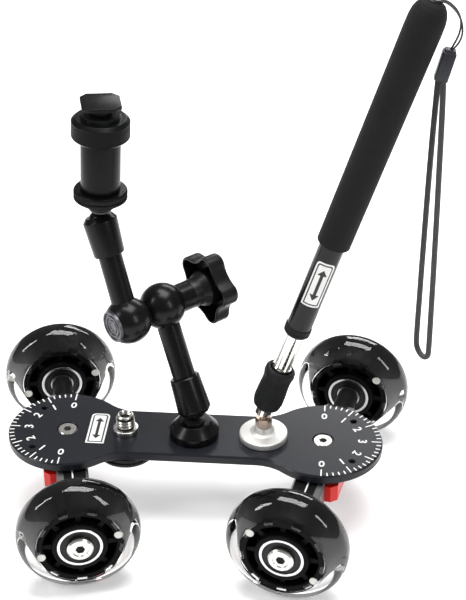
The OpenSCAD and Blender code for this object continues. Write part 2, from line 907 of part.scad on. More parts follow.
module grip_cap() {
    tip = handle_len + cap_tip;
    color("#111112") on_handle() union() {
        bore(outer_r - outer_wall, outer_end - plug_depth, outer_end);
        turned([[0, outer_end - past], [foam_hole_r, outer_end - past],
            [foam_hole_r, tip - cap_tip], [foam_hole_r - cap_tip, tip], [0, tip]]);
    }
}

// ---- wrist strap ----

module strap_string() {
    color("#101010") {
        sweep(string_path, string_d);
        sweep(string_back, string_d);
    }
}

module strap_connector() {
    axis = connector_top - connector_foot;
    x = connector_size[0] / 2;
    y = connector_size[1] / 2;
    e = connector_edge;
    color("#131314") along(connector_foot, unit(axis)) linear_extrude(norm(axis))
        polygon([[-x, -y + e], [-x + e, -y], [x - e, -y], [x, -y + e], [x, y - e], [x - e, y],
            [-x + e, y], [-x, y - e]]);
}

module wrist_strap() {
    color("#121213") sweep(strap_path, strap_d);
}

deck_plate();
camera_stud();
stud_thumbwheel();
truck_beam(-1);  // truck_beam_l
side_block(-1);  // side_block_l
pivot_screw(-1);  // pivot_screw_l
axle_bolts(-1);  // axle_bolts_l
axle_spacers(-1);  // axle_spacers_l
inner_races(-1);  // inner_races_l
truck_beam(1);  // truck_beam_r
side_block(1);  // side_block_r
pivot_screw(1);  // pivot_screw_r
axle_bolts(1);  // axle_bolts_r
axle_spacers(1);  // axle_spacers_r
inner_races(1);  // inner_races_r
tyre(-1, -1);  // tyre_front_l
core(-1, -1);  // core_front_l
outer_races(-1, -1);  // outer_races_front_l
tyre(-1, 1);  // tyre_rear_l
core(-1, 1);  // core_rear_l
outer_races(-1, 1);  // outer_races_rear_l
tyre(1, -1);  // tyre_front_r
core(1, -1);  // core_front_r
outer_races(1, -1);  // outer_races_front_r
tyre(1, 1);  // tyre_rear_r
core(1, 1);  // core_rear_r
outer_races(1, 1);  // outer_races_rear_r
arm_base();
lower_ball_stud();
lower_wear_ring();
lower_cup();
lower_socket();
lower_tube();
lower_pushrod();
elbow_ball_lower();
knob_bolt();
star_knob();
elbow_ball_upper();
elbow_end_cap();
upper_tube();
upper_pushrod();
upper_socket();
upper_cup();
upper_wear_ring();
upper_ball_stud();
lock_flange();
shoe_body();
thumb_ring();
shoe_washer();
handle_disc();
handle_ball_stud();
handle_socket();
rubber_sleeve();
inner_tube();
middle_tube();
outer_tube();
end_ring();
foam_grip();
grip_cap();
strap_string();
strap_connector();
wrist_strap();
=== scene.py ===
"""Camera slider: the looks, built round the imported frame.

Blender works in metres. The shapes below are written in millimetres, as the part's own source
is, and `MM` turns them into metres. Places and axes come from the frame's joints and boxes.
"""

import json
from math import acos, atan2, cos, pi, radians, sin, tan, tau

import bmesh
import bpy
from mathutils import Matrix, Vector


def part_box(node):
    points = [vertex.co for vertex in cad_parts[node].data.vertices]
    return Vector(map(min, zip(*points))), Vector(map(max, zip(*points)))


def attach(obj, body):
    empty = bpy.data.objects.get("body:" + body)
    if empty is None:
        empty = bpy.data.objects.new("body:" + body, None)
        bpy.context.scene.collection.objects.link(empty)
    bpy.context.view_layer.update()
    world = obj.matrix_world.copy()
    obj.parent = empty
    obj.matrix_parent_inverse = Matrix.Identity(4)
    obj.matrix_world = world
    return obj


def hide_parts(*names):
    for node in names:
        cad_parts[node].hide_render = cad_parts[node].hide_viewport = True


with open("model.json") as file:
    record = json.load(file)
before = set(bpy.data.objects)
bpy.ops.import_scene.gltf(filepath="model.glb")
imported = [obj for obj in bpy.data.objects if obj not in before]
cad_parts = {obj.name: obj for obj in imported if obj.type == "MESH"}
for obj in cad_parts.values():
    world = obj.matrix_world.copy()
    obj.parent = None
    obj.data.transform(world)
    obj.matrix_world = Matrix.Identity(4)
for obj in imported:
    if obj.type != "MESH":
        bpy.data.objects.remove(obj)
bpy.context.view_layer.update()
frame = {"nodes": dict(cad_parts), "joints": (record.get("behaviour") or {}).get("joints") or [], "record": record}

MM = 0.001
NODES = frame["nodes"]
JOINTS = {joint["name"]: joint for joint in frame["joints"]}
DECK_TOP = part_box("deck_plate")[1].z / MM
WHEELS = [(row, side) for row in ("front", "rear") for side in ("l", "r")]


def joint_at(name):
    return Vector(JOINTS[name]["pos_m"]) / MM


def joint_axis(name):
    return Vector(JOINTS[name]["axis"]).normalized()


def about_z(angle):
    return Matrix.Rotation(angle, 4, "Z")


def along(point, direction):
    """Puts a shape drawn along +Z onto the line from point in that direction."""
    turn = about_z(atan2(direction.y, direction.x))
    tilt = Matrix.Rotation(acos(max(-1, min(1, direction.z))), 4, "Y")
    return Matrix.Translation(point) @ turn @ tilt


STUD_AT = Vector((joint_at("stud_screw_spin").x, 0, 0))
FOOT_AT = Vector((joint_at("handle_pan").x, 0, 0))
LOWER_ARM = along(joint_at("arm_twist"), joint_axis("arm_twist"))
UPPER_ARM = along(joint_at("head_twist"), -joint_axis("head_twist"))
ELBOW_AXIS = joint_axis("elbow_bend")
KNOB = along(joint_at("elbow_bend"), ELBOW_AXIS)
HEAD = along(joint_at("head_pan"), joint_axis("head_pan"))
HANDLE = along(joint_at("handle_tilt"), joint_axis("handle_twist"))


# ---- camera

VIEW_AZIMUTH = radians(4.98)
VIEW_ELEVATION = radians(32.01)
VIEW_ROLL = radians(-0.39)
VIEW_TARGET = Vector((20, 0, 122.8))
VIEW_DISTANCE = 765
SENSOR = 36
LENS = 95.9


def placed(name, data):
    """A new object of the data, in the scene."""
    made = bpy.data.objects.new(name, data)
    bpy.context.scene.collection.objects.link(made)
    return made


def add_camera():
    data = bpy.data.cameras.new("camera")
    data.sensor_fit = "VERTICAL"
    data.sensor_height = SENSOR
    data.lens = LENS
    data.clip_end = 20
    camera = placed("camera", data)
    back = Vector((
        sin(VIEW_AZIMUTH) * cos(VIEW_ELEVATION),
        -cos(VIEW_AZIMUTH) * cos(VIEW_ELEVATION),
        sin(VIEW_ELEVATION),
    ))
    right = Vector((cos(VIEW_AZIMUTH), sin(VIEW_AZIMUTH), 0))
    up = back.cross(right)
    rolled_right = right * cos(VIEW_ROLL) + up * sin(VIEW_ROLL)
    rolled_up = up * cos(VIEW_ROLL) - right * sin(VIEW_ROLL)
    turn = Matrix((rolled_right, rolled_up, back)).transposed().to_4x4()
    camera.matrix_world = Matrix.Translation((VIEW_TARGET + back * VIEW_DISTANCE) * MM) @ turn
    bpy.context.scene.camera = camera


add_camera()


# ---- materials

MAT = {}


class Nodes:
    """A material in MAT, with a short way to add a node and to join two sockets."""

    def __init__(self, name):
        MAT[name] = bpy.data.materials.new(name)
        MAT[name].use_nodes = True
        self.tree = MAT[name].node_tree
        self.shader = self.tree.nodes["Principled BSDF"]
        self.place = self.add("ShaderNodeTexCoord").outputs["Object"]

    def add(self, kind, **inputs):
        node = self.tree.nodes.new(kind)
        for key, value in inputs.items():
            node.inputs[key.replace("_", " ")].default_value = value
        return node

    def join(self, output, target):
        self.tree.links.new(output, target)

    def noise(self, scale, detail):
        """Noise whose grains are about 1/scale metres."""
        noise = self.add("ShaderNodeTexNoise", Scale=scale, Detail=detail)
        self.join(self.place, noise.inputs["Vector"])
        return noise.outputs["Fac"]

    def ramp(self, factor, stops):
        ramp = self.add("ShaderNodeValToRGB")
        self.join(factor, ramp.inputs["Fac"])
        elements = ramp.color_ramp.elements
        while len(elements) < len(stops):
            elements.new(0.5)
        for element, (position, value) in zip(elements, stops):
            element.position = position
            grey = (value, value, value) if isinstance(value, float) else value
            element.color = (*grey, 1)
        return ramp.outputs["Color"]

    def bump(self, height, distance):
        bump = self.add("ShaderNodeBump", Distance=distance, Strength=1.0)
        self.join(height, bump.inputs["Height"])
        self.join(bump.outputs["Normal"], self.shader.inputs["Normal"])

    def set(self, **values):
        for key, value in values.items():
            self.shader.inputs[key.replace("_", " ")].default_value = value


SMOOTHEST = 0.02
YARNS_PER_WIDTH = 4
YARN_HEIGHT = 0.25 * MM
URETHANE_IOR = 1.49


def scaled(colour, factor):
    return tuple(min(1.0, channel * factor) for channel in colour)


def surface(
    name, colour, rough, metal=0.0, patch=18, spread=0.12, grain=900, grain_depth=0.02,
    rough_spread=0.08, specular=0.5, sheen=0.0,
):
    """A finish with slow drifts of colour, a fine grain and uneven gloss.

    patch and grain are cells per metre of the drift and the grain, and grain_depth is in mm.
    """
    n = Nodes(name)
    drift = n.noise(patch, 4.0)
    tones = [(0.3, scaled(colour, 1 - spread)), (0.7, scaled(colour, 1 + spread))]
    n.join(n.ramp(drift, tones), n.shader.inputs["Base Color"])
    fine = n.noise(grain, 2.0)
    low, high = max(SMOOTHEST, rough - rough_spread), min(1.0, rough + rough_spread)
    n.join(n.ramp(fine, [(0.3, low), (0.7, high)]), n.shader.inputs["Roughness"])
    n.bump(fine, grain_depth * MM)
    n.set(Metallic=metal, Specular_IOR_Level=specular, Sheen_Weight=sheen)


def braid():
    """Woven cord: two sets of slanting yarns, from the tube's own round and long directions."""
    n = Nodes("cord")
    uv = n.add("ShaderNodeTexCoord").outputs["UV"]
    highest = n.add("ShaderNodeMath")
    highest.operation = "MAXIMUM"
    for k, slant in enumerate((1, -1)):
        mapping = n.add("ShaderNodeMapping")
        mapping.inputs["Scale"].default_value = (YARNS_PER_WIDTH, YARNS_PER_WIDTH, 1)
        mapping.inputs["Rotation"].default_value = (0, 0, slant * radians(45))
        n.join(uv, mapping.inputs["Vector"])
        wave = n.add("ShaderNodeTexWave", Scale=1.0)
        wave.bands_direction = "X"
        n.join(mapping.outputs["Vector"], wave.inputs["Vector"])
        n.join(wave.outputs["Fac"], highest.inputs[k])
    yarn = highest.outputs["Value"]
    tones = [(0.2, (0.004, 0.004, 0.005)), (0.9, (0.03, 0.03, 0.033))]
    n.join(n.ramp(yarn, tones), n.shader.inputs["Base Color"])
    n.bump(yarn, YARN_HEIGHT)
    n.set(Roughness=0.8, Sheen_Weight=0.3)


def clear_urethane():
    """Cast urethane: clear, a little grey, with faint flow lines."""
    n = Nodes("clear_urethane")
    flow = n.noise(25, 2.0)
    n.join(n.ramp(flow, [(0.3, (0.93, 0.935, 0.92)), (0.7, (0.97, 0.975, 0.965))]),
           n.shader.inputs["Base Color"])
    scuff = n.noise(260, 4.0)
    n.join(n.ramp(scuff, [(0.5, 0.0), (0.85, 0.02)]), n.shader.inputs["Roughness"])
    n.bump(flow, 0.3 * MM)
    n.set(Transmission_Weight=1.0, IOR=URETHANE_IOR)


def studio_white():
    n = Nodes("studio_white")
    tint = n.ramp(n.noise(3, 2.0), [(0.3, (0.9, 0.9, 0.9)), (0.7, (0.94, 0.94, 0.94))])
    n.join(tint, n.shader.inputs["Base Color"])
    n.join(tint, n.shader.inputs["Emission Color"])
    n.set(Roughness=0.9, Emission_Strength=0.35)


surface("deck_black", (0.0115, 0.0125, 0.017), 0.32, grain=3400, grain_depth=0.002, specular=0.26,
        rough_spread=0.05, patch=9)
surface("grey_aluminium", (0.27, 0.27, 0.27), 0.42, metal=0.85, grain=2200, grain_depth=0.008,
        spread=0.06)
surface("red_anodised", (0.6, 0.012, 0.008), 0.36, metal=0.1, grain=2400, grain_depth=0.006,
        specular=0.3, spread=0.08)
surface("black_metal", (0.0045, 0.0047, 0.005), 0.26, grain=2600, grain_depth=0.001, specular=0.2,
        rough_spread=0.03)
surface("black_knurled", (0.0035, 0.0042, 0.0036), 0.3, grain=2400, grain_depth=0.001,
        specular=0.12)
surface("bright_steel", (0.74, 0.73, 0.69), 0.27, metal=1.0, grain=5200, grain_depth=0.0006,
        spread=0.03, rough_spread=0.06)
surface("disc_nickel", (0.84, 0.83, 0.8), 0.42, metal=0.75, grain=5200, grain_depth=0.0006,
        spread=0.03, rough_spread=0.06)
# Painted shade: a near-black finish for the inserts that darken the hex sockets, the thread's roots and the stud's
# hole, where shade falls.
surface("painted_shade_hollow", (0.02, 0.018, 0.015), 0.5, metal=0.3, grain=2400, grain_depth=0.002,
        specular=0.2)
surface("bearing_steel", (0.72, 0.72, 0.73), 0.18, metal=1.0, grain=5200, grain_depth=0.0005,
        spread=0.03, rough_spread=0.05)
surface("chrome", (0.84, 0.82, 0.77), 0.12, metal=1.0, grain=4000, grain_depth=0.0003,
        spread=0.02, rough_spread=0.03)
surface("brass", (0.62, 0.5, 0.42), 0.24, metal=1.0, grain=4000, grain_depth=0.0008, spread=0.05)
surface("cap_metal", (0.09, 0.09, 0.1), 0.34, metal=0.7, grain=3000, grain_depth=0.002)
surface("ring_plastic", (0.02, 0.02, 0.022), 0.35, grain=2400, grain_depth=0.004)
surface("black_plastic", (0.006, 0.006, 0.0064), 0.34, grain=2600, grain_depth=0.004,
        specular=0.25)
surface("gloss_black", (0.005, 0.0053, 0.0062), 0.2, grain=3000, grain_depth=0.001, specular=0.28,
        rough_spread=0.04)
surface("port_urethane", (0.66, 0.66, 0.62), 0.3, patch=300)
surface("black_rubber", (0.008, 0.0084, 0.0092), 0.55, grain=3000, grain_depth=0.02, specular=0.2)
surface("foam", (0.0062, 0.0064, 0.007), 0.8, patch=60, grain=2600, grain_depth=0.1,
        rough_spread=0.1, specular=0.22, sheen=0.03)
surface("core_black", (0.004, 0.004, 0.0046), 0.42, grain=2600, grain_depth=0.0005, specular=0.05)
surface("clip_plastic", (0.010, 0.012, 0.02), 0.4, grain=2600, grain_depth=0.004, specular=0.4)
surface("print_white", (0.82, 0.82, 0.8), 0.5, patch=200, spread=0.05)
surface("print_black", (0.008, 0.008, 0.009), 0.4, patch=200)
clear_urethane()
braid()


# ---- mesh tools


CORNER_STEPS = 4
EDGE_STEPS = 3
NIL = 1e-6


def rounded(outline):
    """A closed outline of (x, y) or (x, y, radius) points, its corners with a radius rounded."""
    made = []
    count = len(outline)
    for index, point in enumerate(outline):
        here = Vector(point[:2])
        radius = point[2] if len(point) > 2 else 0
        if not radius:
            made.append(here)
            continue
        before = (Vector(outline[index - 1][:2]) - here).normalized()
        after = (Vector(outline[(index + 1) % count][:2]) - here).normalized()
        half = before.angle(after) / 2
        reach = radius / tan(half)
        centre = here + (before + after).normalized() * (radius / sin(half))
        first = here + before * reach - centre
        last = here + after * reach - centre
        sweep = first.angle_signed(last)
        for step in range(CORNER_STEPS + 1):
            turn = Matrix.Rotation(-sweep * step / CORNER_STEPS, 2)
            made.append(centre + turn @ first)
    return made


def outward(bm):
    bmesh.ops.recalc_face_normals(bm, faces=bm.faces)
    return bm


def lathe(outline, segments=96, shape=None, angles=None):
    """Turns a closed (radius, z) outline round Z. shape(radius, z, angle) may move a point."""
    bm = bmesh.new()
    if angles is None:
        angles = [tau * k / segments for k in range(segments)]
    rings = []
    for radius, z in outline:
        if radius < NIL:
            rings.append([bm.verts.new((0, 0, z))] * len(angles))
            continue
        ring = []
        for angle in angles:
            r = shape(radius, z, angle) if shape else radius
            ring.append(bm.verts.new((r * cos(angle), r * sin(angle), z)))
        rings.append(ring)
    for low, high in zip(rings, rings[1:] + rings[:1]):
        for k in range(len(angles)):
            n = (k + 1) % len(angles)
            corners = []
            for vert in (low[k], low[n], high[n], high[k]):
                if vert not in corners:
                    corners.append(vert)
            if len(corners) > 2:
                bm.faces.new(corners)
    return outward(bm)


def band(bm, rings):
    """Faces between rings of points, each ring joined to the next."""
    for low, high in zip(rings, rings[1:]):
        for k in range(len(low)):
            n = (k + 1) % len(low)
            bm.faces.new((low[k], low[n], high[n], high[k]))


def stacked(outline, levels):
    """A closed solid through the points of outline(inset) at each (z, inset) level."""
    bm = bmesh.new()
    rings = [[bm.verts.new((x, y, z)) for x, y in outline(inset)] for z, inset in levels]
    band(bm, rings)
    bm.faces.new(reversed(rings[0]))
    bm.faces.new(rings[-1])
    return outward(bm)


def slab(outline, low, high, edge=0.0):
    """A plate between two heights whose outline(inset) gives its points; edges are rounded."""
    lows = []
    for step in range(EDGE_STEPS + 1 if edge else 1):
        angle = pi / 2 * step / EDGE_STEPS if edge else 0
        lows.insert(0, (low + edge * (1 - sin(angle)), edge * (1 - cos(angle))))
    return stacked(outline, lows + [(low + high - z, inset) for z, inset in reversed(lows)])


def circle_points(x, y, radius, count=48):
    angles = [tau * k / count for k in range(count)]
    return [(x + radius * cos(a), y + radius * sin(a)) for a in angles]


def plate(outline, levels, holes):
    """A plate of outline(inset) at (z, inset) levels, with holes of (x, y, levels of (z, r))."""
    bm = bmesh.new()
    walls = [[[bm.verts.new((x, y, z)) for x, y in outline(inset)] for z, inset in levels]]
    for x, y, steps in holes:
        walls.append([[bm.verts.new((*p, z)) for p in circle_points(x, y, r)] for z, r in steps])
    for rings in walls:
        band(bm, rings)
    for level in (0, -1):
        rim = []
        for rings in walls:
            ring = rings[level]
            for k in range(len(ring)):
                rim.append(bm.edges.get((ring[k], ring[(k + 1) % len(ring)])))
        bmesh.ops.triangle_fill(bm, use_beauty=True, use_dissolve=False, edges=rim)
    return outward(bm)


CORD_SIDES = 12
OFF_EVERY_CORD = Vector((0.27, 0.96, 0.02))


def tube(path, radius):
    """A tube along a path of points, with UVs in units of its width for its weave."""
    bm = bmesh.new()
    layer = bm.loops.layers.uv.new("weave")
    rings, run = [], [0.0]
    for index, point in enumerate(path):
        before = path[max(index - 1, 0)]
        after = path[min(index + 1, len(path) - 1)]
        heading = (after - before).normalized()
        u = heading.cross(OFF_EVERY_CORD).normalized()
        w = heading.cross(u)
        ring = []
        for k in range(CORD_SIDES):
            angle = tau * k / CORD_SIDES
            ring.append(bm.verts.new(point + radius * (cos(angle) * u + sin(angle) * w)))
        rings.append(ring)
        if index:
            run.append(run[-1] + (point - before).length)
    girth = tau * radius
    for index in range(len(path) - 1):
        for k in range(CORD_SIDES):
            n = (k + 1) % CORD_SIDES
            face = bm.faces.new((rings[index][k], rings[index + 1][k],
                                 rings[index + 1][n], rings[index][n]))
            places = ((k, index), (k, index + 1), (k + 1, index + 1), (k + 1, index))
            for loop, (side, step) in zip(face.loops, places):
                loop[layer].uv = (2 * side / CORD_SIDES, 2 * run[step] / girth)
    bm.faces.new(rings[0])
    bm.faces.new(reversed(rings[-1]))
    return outward(bm)


SPAN_STEPS = 3


def smooth_path(points):
    """Catmull-Rom through the points, so a cord bends evenly between its route's points."""
    made = []
    for index in range(len(points) - 1):
        p0 = points[max(index - 1, 0)]
        p1, p2 = points[index], points[index + 1]
        p3 = points[min(index + 2, len(points) - 1)]
        for step in range(SPAN_STEPS):
            t = step / SPAN_STEPS
            made.append(0.5 * (2 * p1 + (p2 - p0) * t + (2 * p0 - 5 * p1 + 4 * p2 - p3) * t * t
                               + (3 * p1 - p0 - 3 * p2 + p3) * t ** 3))
    made.append(points[-1])
    return made


def joined(*parts):
    """One mesh from several, each a bmesh or a (bmesh, matrix) pair."""
    whole = bmesh.new()
    for part in parts:
        bm, place = part if isinstance(part, tuple) else (part, None)
        if place is not None:
            bm.transform(place)
        mesh = bpy.data.meshes.new("part")
        bm.to_mesh(mesh)
        bm.free()
        whole.from_mesh(mesh)
        bpy.data.meshes.remove(mesh)
    return whole


SHARP = radians(32)


def piece(name, bm, place, finish, body, replaces=(), smooth=True):
    """Makes a shown piece of a mesh drawn in millimetres and says what it rides on."""
    bm.transform(Matrix.Scale(MM, 4) @ place)
    for face in bm.faces:
        face.smooth = smooth
    for edge in bm.edges:
        edge.smooth = len(edge.link_faces) == 2 and edge.calc_face_angle(0) < SHARP
    mesh = bpy.data.meshes.new(name)
    bm.to_mesh(mesh)
    bm.free()
    mesh.materials.append(MAT[finish])
    made = placed(name, mesh)
    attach(made, body)
    if replaces:
        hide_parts(*replaces)
    return made


def knurl(teeth, depth, low, high, inner):
    """A shape for lathe: V-shaped teeth cut in the rim between two heights."""

    def cut(radius, z, angle):
        if radius < inner or z < low or z > high:
            return radius
        phase = angle * teeth / tau % 1
        return radius - depth * abs(2 * phase - 1)

    return cut


# A diamond's flat top ends this share of the way to its grooves
GROOVE_FROM = 0.62


def diamonds(around, pitch, depth, low, high, inner):
    """A shape for lathe: crossed grooves that leave diamonds between two heights."""

    def cut(radius, z, angle):
        if radius < inner or not low < z < high:
            return radius
        u, v = angle * around / tau, z / pitch
        ridge = max(abs((u + v) % 1 - 0.5), abs((u - v) % 1 - 0.5)) * 2
        return radius - depth * max(0.0, ridge - GROOVE_FROM) / (1 - GROOVE_FROM)

    return cut


def finely(outline, step):
    """The closed outline with points added where two are further apart than step."""
    points = []
    for a, b in zip(outline, outline[1:] + outline[:1]):
        cuts = max(1, int((b - a).length / step))
        points += [a.lerp(b, k / cuts) for k in range(cuts)]
    return points


def straight(place):
    return Matrix.Translation(place)


# ---- cords: the string and the wrist strap

STRING_D = 0.9
STRING_PATH = [
    (107.6, -0.55, 275.6), (109.4, -0.55, 276.2), (111.6, -0.55, 275.8), (114, -0.55, 274.2),
    (116.4, -0.55, 271.6), (118.3, -0.6, 268.2), (119.2, -0.6, 264.4), (119.1, -0.6, 260.8),
    (117.9, -0.6, 257.6), (116.2, -0.5, 255.2), (114.9, -0.5, 253.6),
]
STRING_BACK = [
    (107.6, 0.55, 275.6), (109.3, 0.55, 276.4), (111.5, 0.55, 276.2), (113.9, 0.55, 274.8),
    (116.2, 0.55, 272.4), (117.9, 0.6, 269.2), (118.5, 0.6, 265.4), (118, 0.6, 261.6),
    (116.9, 0.6, 258.4), (115.7, 0.55, 255.8), (114.7, 0.5, 253.6),
]
STRAP_D = 2.8
STRAP_PATH = [
    (112.5, -1.2, 240.6), (112.7, -1.6, 236), (112.9, -2.2, 228), (113.1, -2.8, 216),
    (113.3, -3.3, 200), (113.6, -3.8, 180), (113.8, -4.2, 160), (114, -4.5, 140),
    (114.1, -4.8, 124), (114.2, -4.9, 112), (114.2, -4.9, 101.1), (113.7, -4, 97.8),
    (112.3, -1.6, 95.8), (110.5, 1.5, 95.8), (109.1, 3.9, 97.8), (108.6, 4.8, 101.1),
    (108.6, 4.8, 112), (108.7, 4.7, 124), (108.8, 4.4, 140), (109, 4.1, 160),
    (109.2, 3.7, 180), (109.5, 3.2, 200), (109.8, 2.7, 216), (110.1, 2.1, 228),
    (110.3, 1.5, 236), (110.5, 1.1, 240.6),
]
CONNECTOR_TOP = Vector((114.9, 0, 254.6))
CONNECTOR_FOOT = Vector((111.3, 0, 240.2))


def add_cord(name, route, diameter, node):
    """Makes a cord along its route."""
    points = [Vector(point) for point in route]
    line = smooth_path(points)
    made = piece(name, tube(line, diameter / 2), Matrix(), "cord", "handle_grip", [node])


CLIP_HALF_W = 3.1
CLIP_HALF_D = 2.8
CLIP_CORNER = 0.8
CLIP_EDGE = 0.5
CLIP_STEP = 1.2
CLIP_STEP_SCALE = 0.8
RIDGE_HALF_W = 0.35
RIDGE_PROUD = 0.15
RIDGE_LOW = 1
CONNECTOR = along(CONNECTOR_FOOT, (CONNECTOR_TOP - CONNECTOR_FOOT).normalized())
CONNECTOR_LENGTH = (CONNECTOR_TOP - CONNECTOR_FOOT).length


def connector_mesh():
    """A clip with a narrower step at its top end and a ridge down each side."""
    step_low = CONNECTOR_LENGTH - CLIP_STEP

    def body(inset):
        w, d, r = CLIP_HALF_W - inset, CLIP_HALF_D - inset, CLIP_CORNER
        return rounded([(-w, -d, r), (w, -d, r), (w, d, r), (-w, d, r)])

    def ridge(inset):
        w, d = RIDGE_HALF_W, CLIP_HALF_D + RIDGE_PROUD - inset
        return [Vector(p) for p in ((-w, -d), (w, -d), (w, d), (-w, d))]

    return joined(
        slab(body, 0, step_low, edge=CLIP_EDGE),
        slab(lambda inset: [p * CLIP_STEP_SCALE for p in body(inset)], step_low - 0.4,
             CONNECTOR_LENGTH, edge=CLIP_EDGE),
        slab(ridge, RIDGE_LOW, step_low - CLIP_STEP, edge=0.1))


connector = piece("strap_connector_clip", connector_mesh(), CONNECTOR, "clip_plastic",
                  "handle_grip", ["strap_connector"])
for end, route in (("front", STRING_PATH), ("back", STRING_BACK)):
    add_cord("strap_cord_string_" + end, route, STRING_D, "strap_string")
add_cord("strap_cord_loop", STRAP_PATH, STRAP_D, "wrist_strap")


# ---- deck: plate, scales, numbers and label

DECK_R = 30
WAIST = 18
WAIST_X = 32
DECK_EDGE = 0.8
END_STEPS = 24
FILLET_STEPS = 16
ARM_BOLT_R = 3.2
STUD_BORE_R = 5
FOOT_BOLT_R = 3.25
PIVOT_BORE_R = 3.1
PIVOT_HEAD_R = 5.2
PIVOT_SEAT = 2
PIVOT_SINK = 0.3
SMALL_HOLE_R = 1.5
SMALL_SINK = 0.4
SMALL_HOLE_OUT = 15
SMALL_HOLE_ASIDE = 16.5
DECK_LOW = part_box("deck_plate")[0].z / MM
PIVOT_X = joint_at("truck_r_swivel").x
FILLET_R = ((PIVOT_X - WAIST_X) ** 2 + WAIST ** 2 - DECK_R ** 2) / (2 * (DECK_R - WAIST))


def deck_outline(inset):
    """A dog bone: two round ends, a straight waist, and fillets that touch both."""
    touch = atan2(WAIST + FILLET_R, PIVOT_X - WAIST_X)
    end_r, fillet_r = DECK_R - inset, FILLET_R + inset
    quarter = []
    for step in range(END_STEPS + 1):
        angle = (pi - touch) * step / END_STEPS
        quarter.append((PIVOT_X + end_r * cos(angle), end_r * sin(angle)))
    for step in range(1, FILLET_STEPS + 1):
        angle = -touch + (touch - pi / 2) * step / FILLET_STEPS
        quarter.append((WAIST_X + fillet_r * cos(angle),
                        WAIST + FILLET_R + fillet_r * sin(angle)))
    top = quarter + [(-x, y) for x, y in reversed(quarter)]
    return top[:-1] + [(-x, -y) for x, y in top[:-1]]


def deck_holes():
    """Three plain bores, two stepped ones for the pivot screws, and four small sunk holes."""
    plain = ((0, ARM_BOLT_R), (STUD_AT.x, STUD_BORE_R), (FOOT_AT.x, FOOT_BOLT_R))
    holes = [(x, 0, [(DECK_LOW, r), (DECK_TOP, r)]) for x, r in plain]
    seat = DECK_LOW + PIVOT_SEAT
    stepped = [(DECK_LOW, PIVOT_BORE_R), (seat, PIVOT_BORE_R), (seat, PIVOT_HEAD_R),
               (DECK_TOP - PIVOT_SINK, PIVOT_HEAD_R), (DECK_TOP, PIVOT_HEAD_R + PIVOT_SINK)]
    small = [(DECK_LOW, SMALL_HOLE_R), (DECK_TOP - SMALL_SINK, SMALL_HOLE_R),
             (DECK_TOP, SMALL_HOLE_R + SMALL_SINK)]
    for way in (1, -1):
        holes.append((way * PIVOT_X, 0, stepped))
        for up in (1, -1):
            holes.append((way * (PIVOT_X + SMALL_HOLE_OUT), up * SMALL_HOLE_ASIDE, small))
    return holes


DECK_LEVELS = [(DECK_LOW, DECK_EDGE), (DECK_LOW + DECK_EDGE, 0), (DECK_TOP - DECK_EDGE, 0),
               (DECK_TOP, DECK_EDGE)]
piece("deck_chamfered_plate", plate(deck_outline, DECK_LEVELS, deck_holes()), Matrix(),
      "deck_black", "deck", ["deck_plate"])

PRINT_H = 0.06
TICK_STEP = 6
TICK_OUT = 29.4
TICK_IN = 27
LONG_TICK_IN = 24.4
TICK_W = 0.62
LONG_TICK_STEP = 30
NUMERAL_R = 19.6
NUMERAL_SIZE = 6.2
NUMERAL_BOLD = 0.1


def bar(length, width, height):
    """A thin printed bar along +X from the origin, on the XY plane."""
    bm = bmesh.new()
    bmesh.ops.create_cube(bm, size=1)
    size = Matrix.Diagonal((length, width, height, 1))
    bm.transform(Matrix.Translation((length / 2, 0, height / 2)) @ size)
    return bm


def add_scale(side, sign):
    """Ticks and numbers 0 to 3 and back to 0 round one end of the deck."""
    pivot = Vector((joint_at("truck_%s_swivel" % side).x, 0, DECK_TOP))
    bars = []
    for degrees in range(-90, 91, TICK_STEP):
        start = TICK_IN if degrees % LONG_TICK_STEP else LONG_TICK_IN
        turn = about_z(radians(degrees if sign > 0 else 180 - degrees))
        bars.append((bar(TICK_OUT - start, TICK_W, PRINT_H), turn @ straight((start, 0, 0))))
    piece("scale_ticks_" + side, joined(*bars), straight(pivot), "print_white", "deck",
          smooth=False)
    for degrees in range(-90, 91, LONG_TICK_STEP):
        angle = radians(degrees if sign > 0 else 180 - degrees)
        data = bpy.data.curves.new("numeral", "FONT")
        data.body = str(3 - abs(degrees) // LONG_TICK_STEP)
        data.size = NUMERAL_SIZE * MM
        data.align_x = "CENTER"
        data.align_y = "CENTER"
        data.offset = NUMERAL_BOLD * MM
        data.extrude = PRINT_H / 2 * MM
        made = placed("numeral_%s_%d" % (side, degrees + 90), data)
        spot = pivot + NUMERAL_R * Vector((cos(angle), sin(angle), 0))
        spot.z += PRINT_H / 2
        made.matrix_world = straight(spot * MM) @ about_z(angle - pi / 2)
        data.materials.append(MAT["print_white"])
        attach(made, "deck")


add_scale("l", -1)
add_scale("r", 1)


def label_outline(width, height, corner):
    """A label outline as a function of how far in it is drawn."""

    def outline(inset):
        w, h = width / 2 - inset, height / 2 - inset
        c = max(0.05, corner - inset)
        return rounded([(-w, -h), (w, -h), (w, h, c), (-w, h, c)])

    return outline


def arrow(length, width, head, height):
    """A double-headed arrow along Y: the label's generic sign."""
    h, w, s = length / 2, width / 2, width / 6
    points = [(0, h), (w, h - head), (s, h - head), (s, head - h), (w, head - h), (0, -h),
              (-w, head - h), (-s, head - h), (-s, h - head), (-w, h - head)]
    return slab(lambda inset: [Vector(p) for p in reversed(points)], 0, height)


LABEL_BORDER = 0.9
LABEL_FRAME = 0.7
LABEL_CORNERS = (2.2, 1.5, 0.9)
ARROW_LENGTH = 0.8
ARROW_WIDTH = 0.72
ARROW_HEAD = 0.5


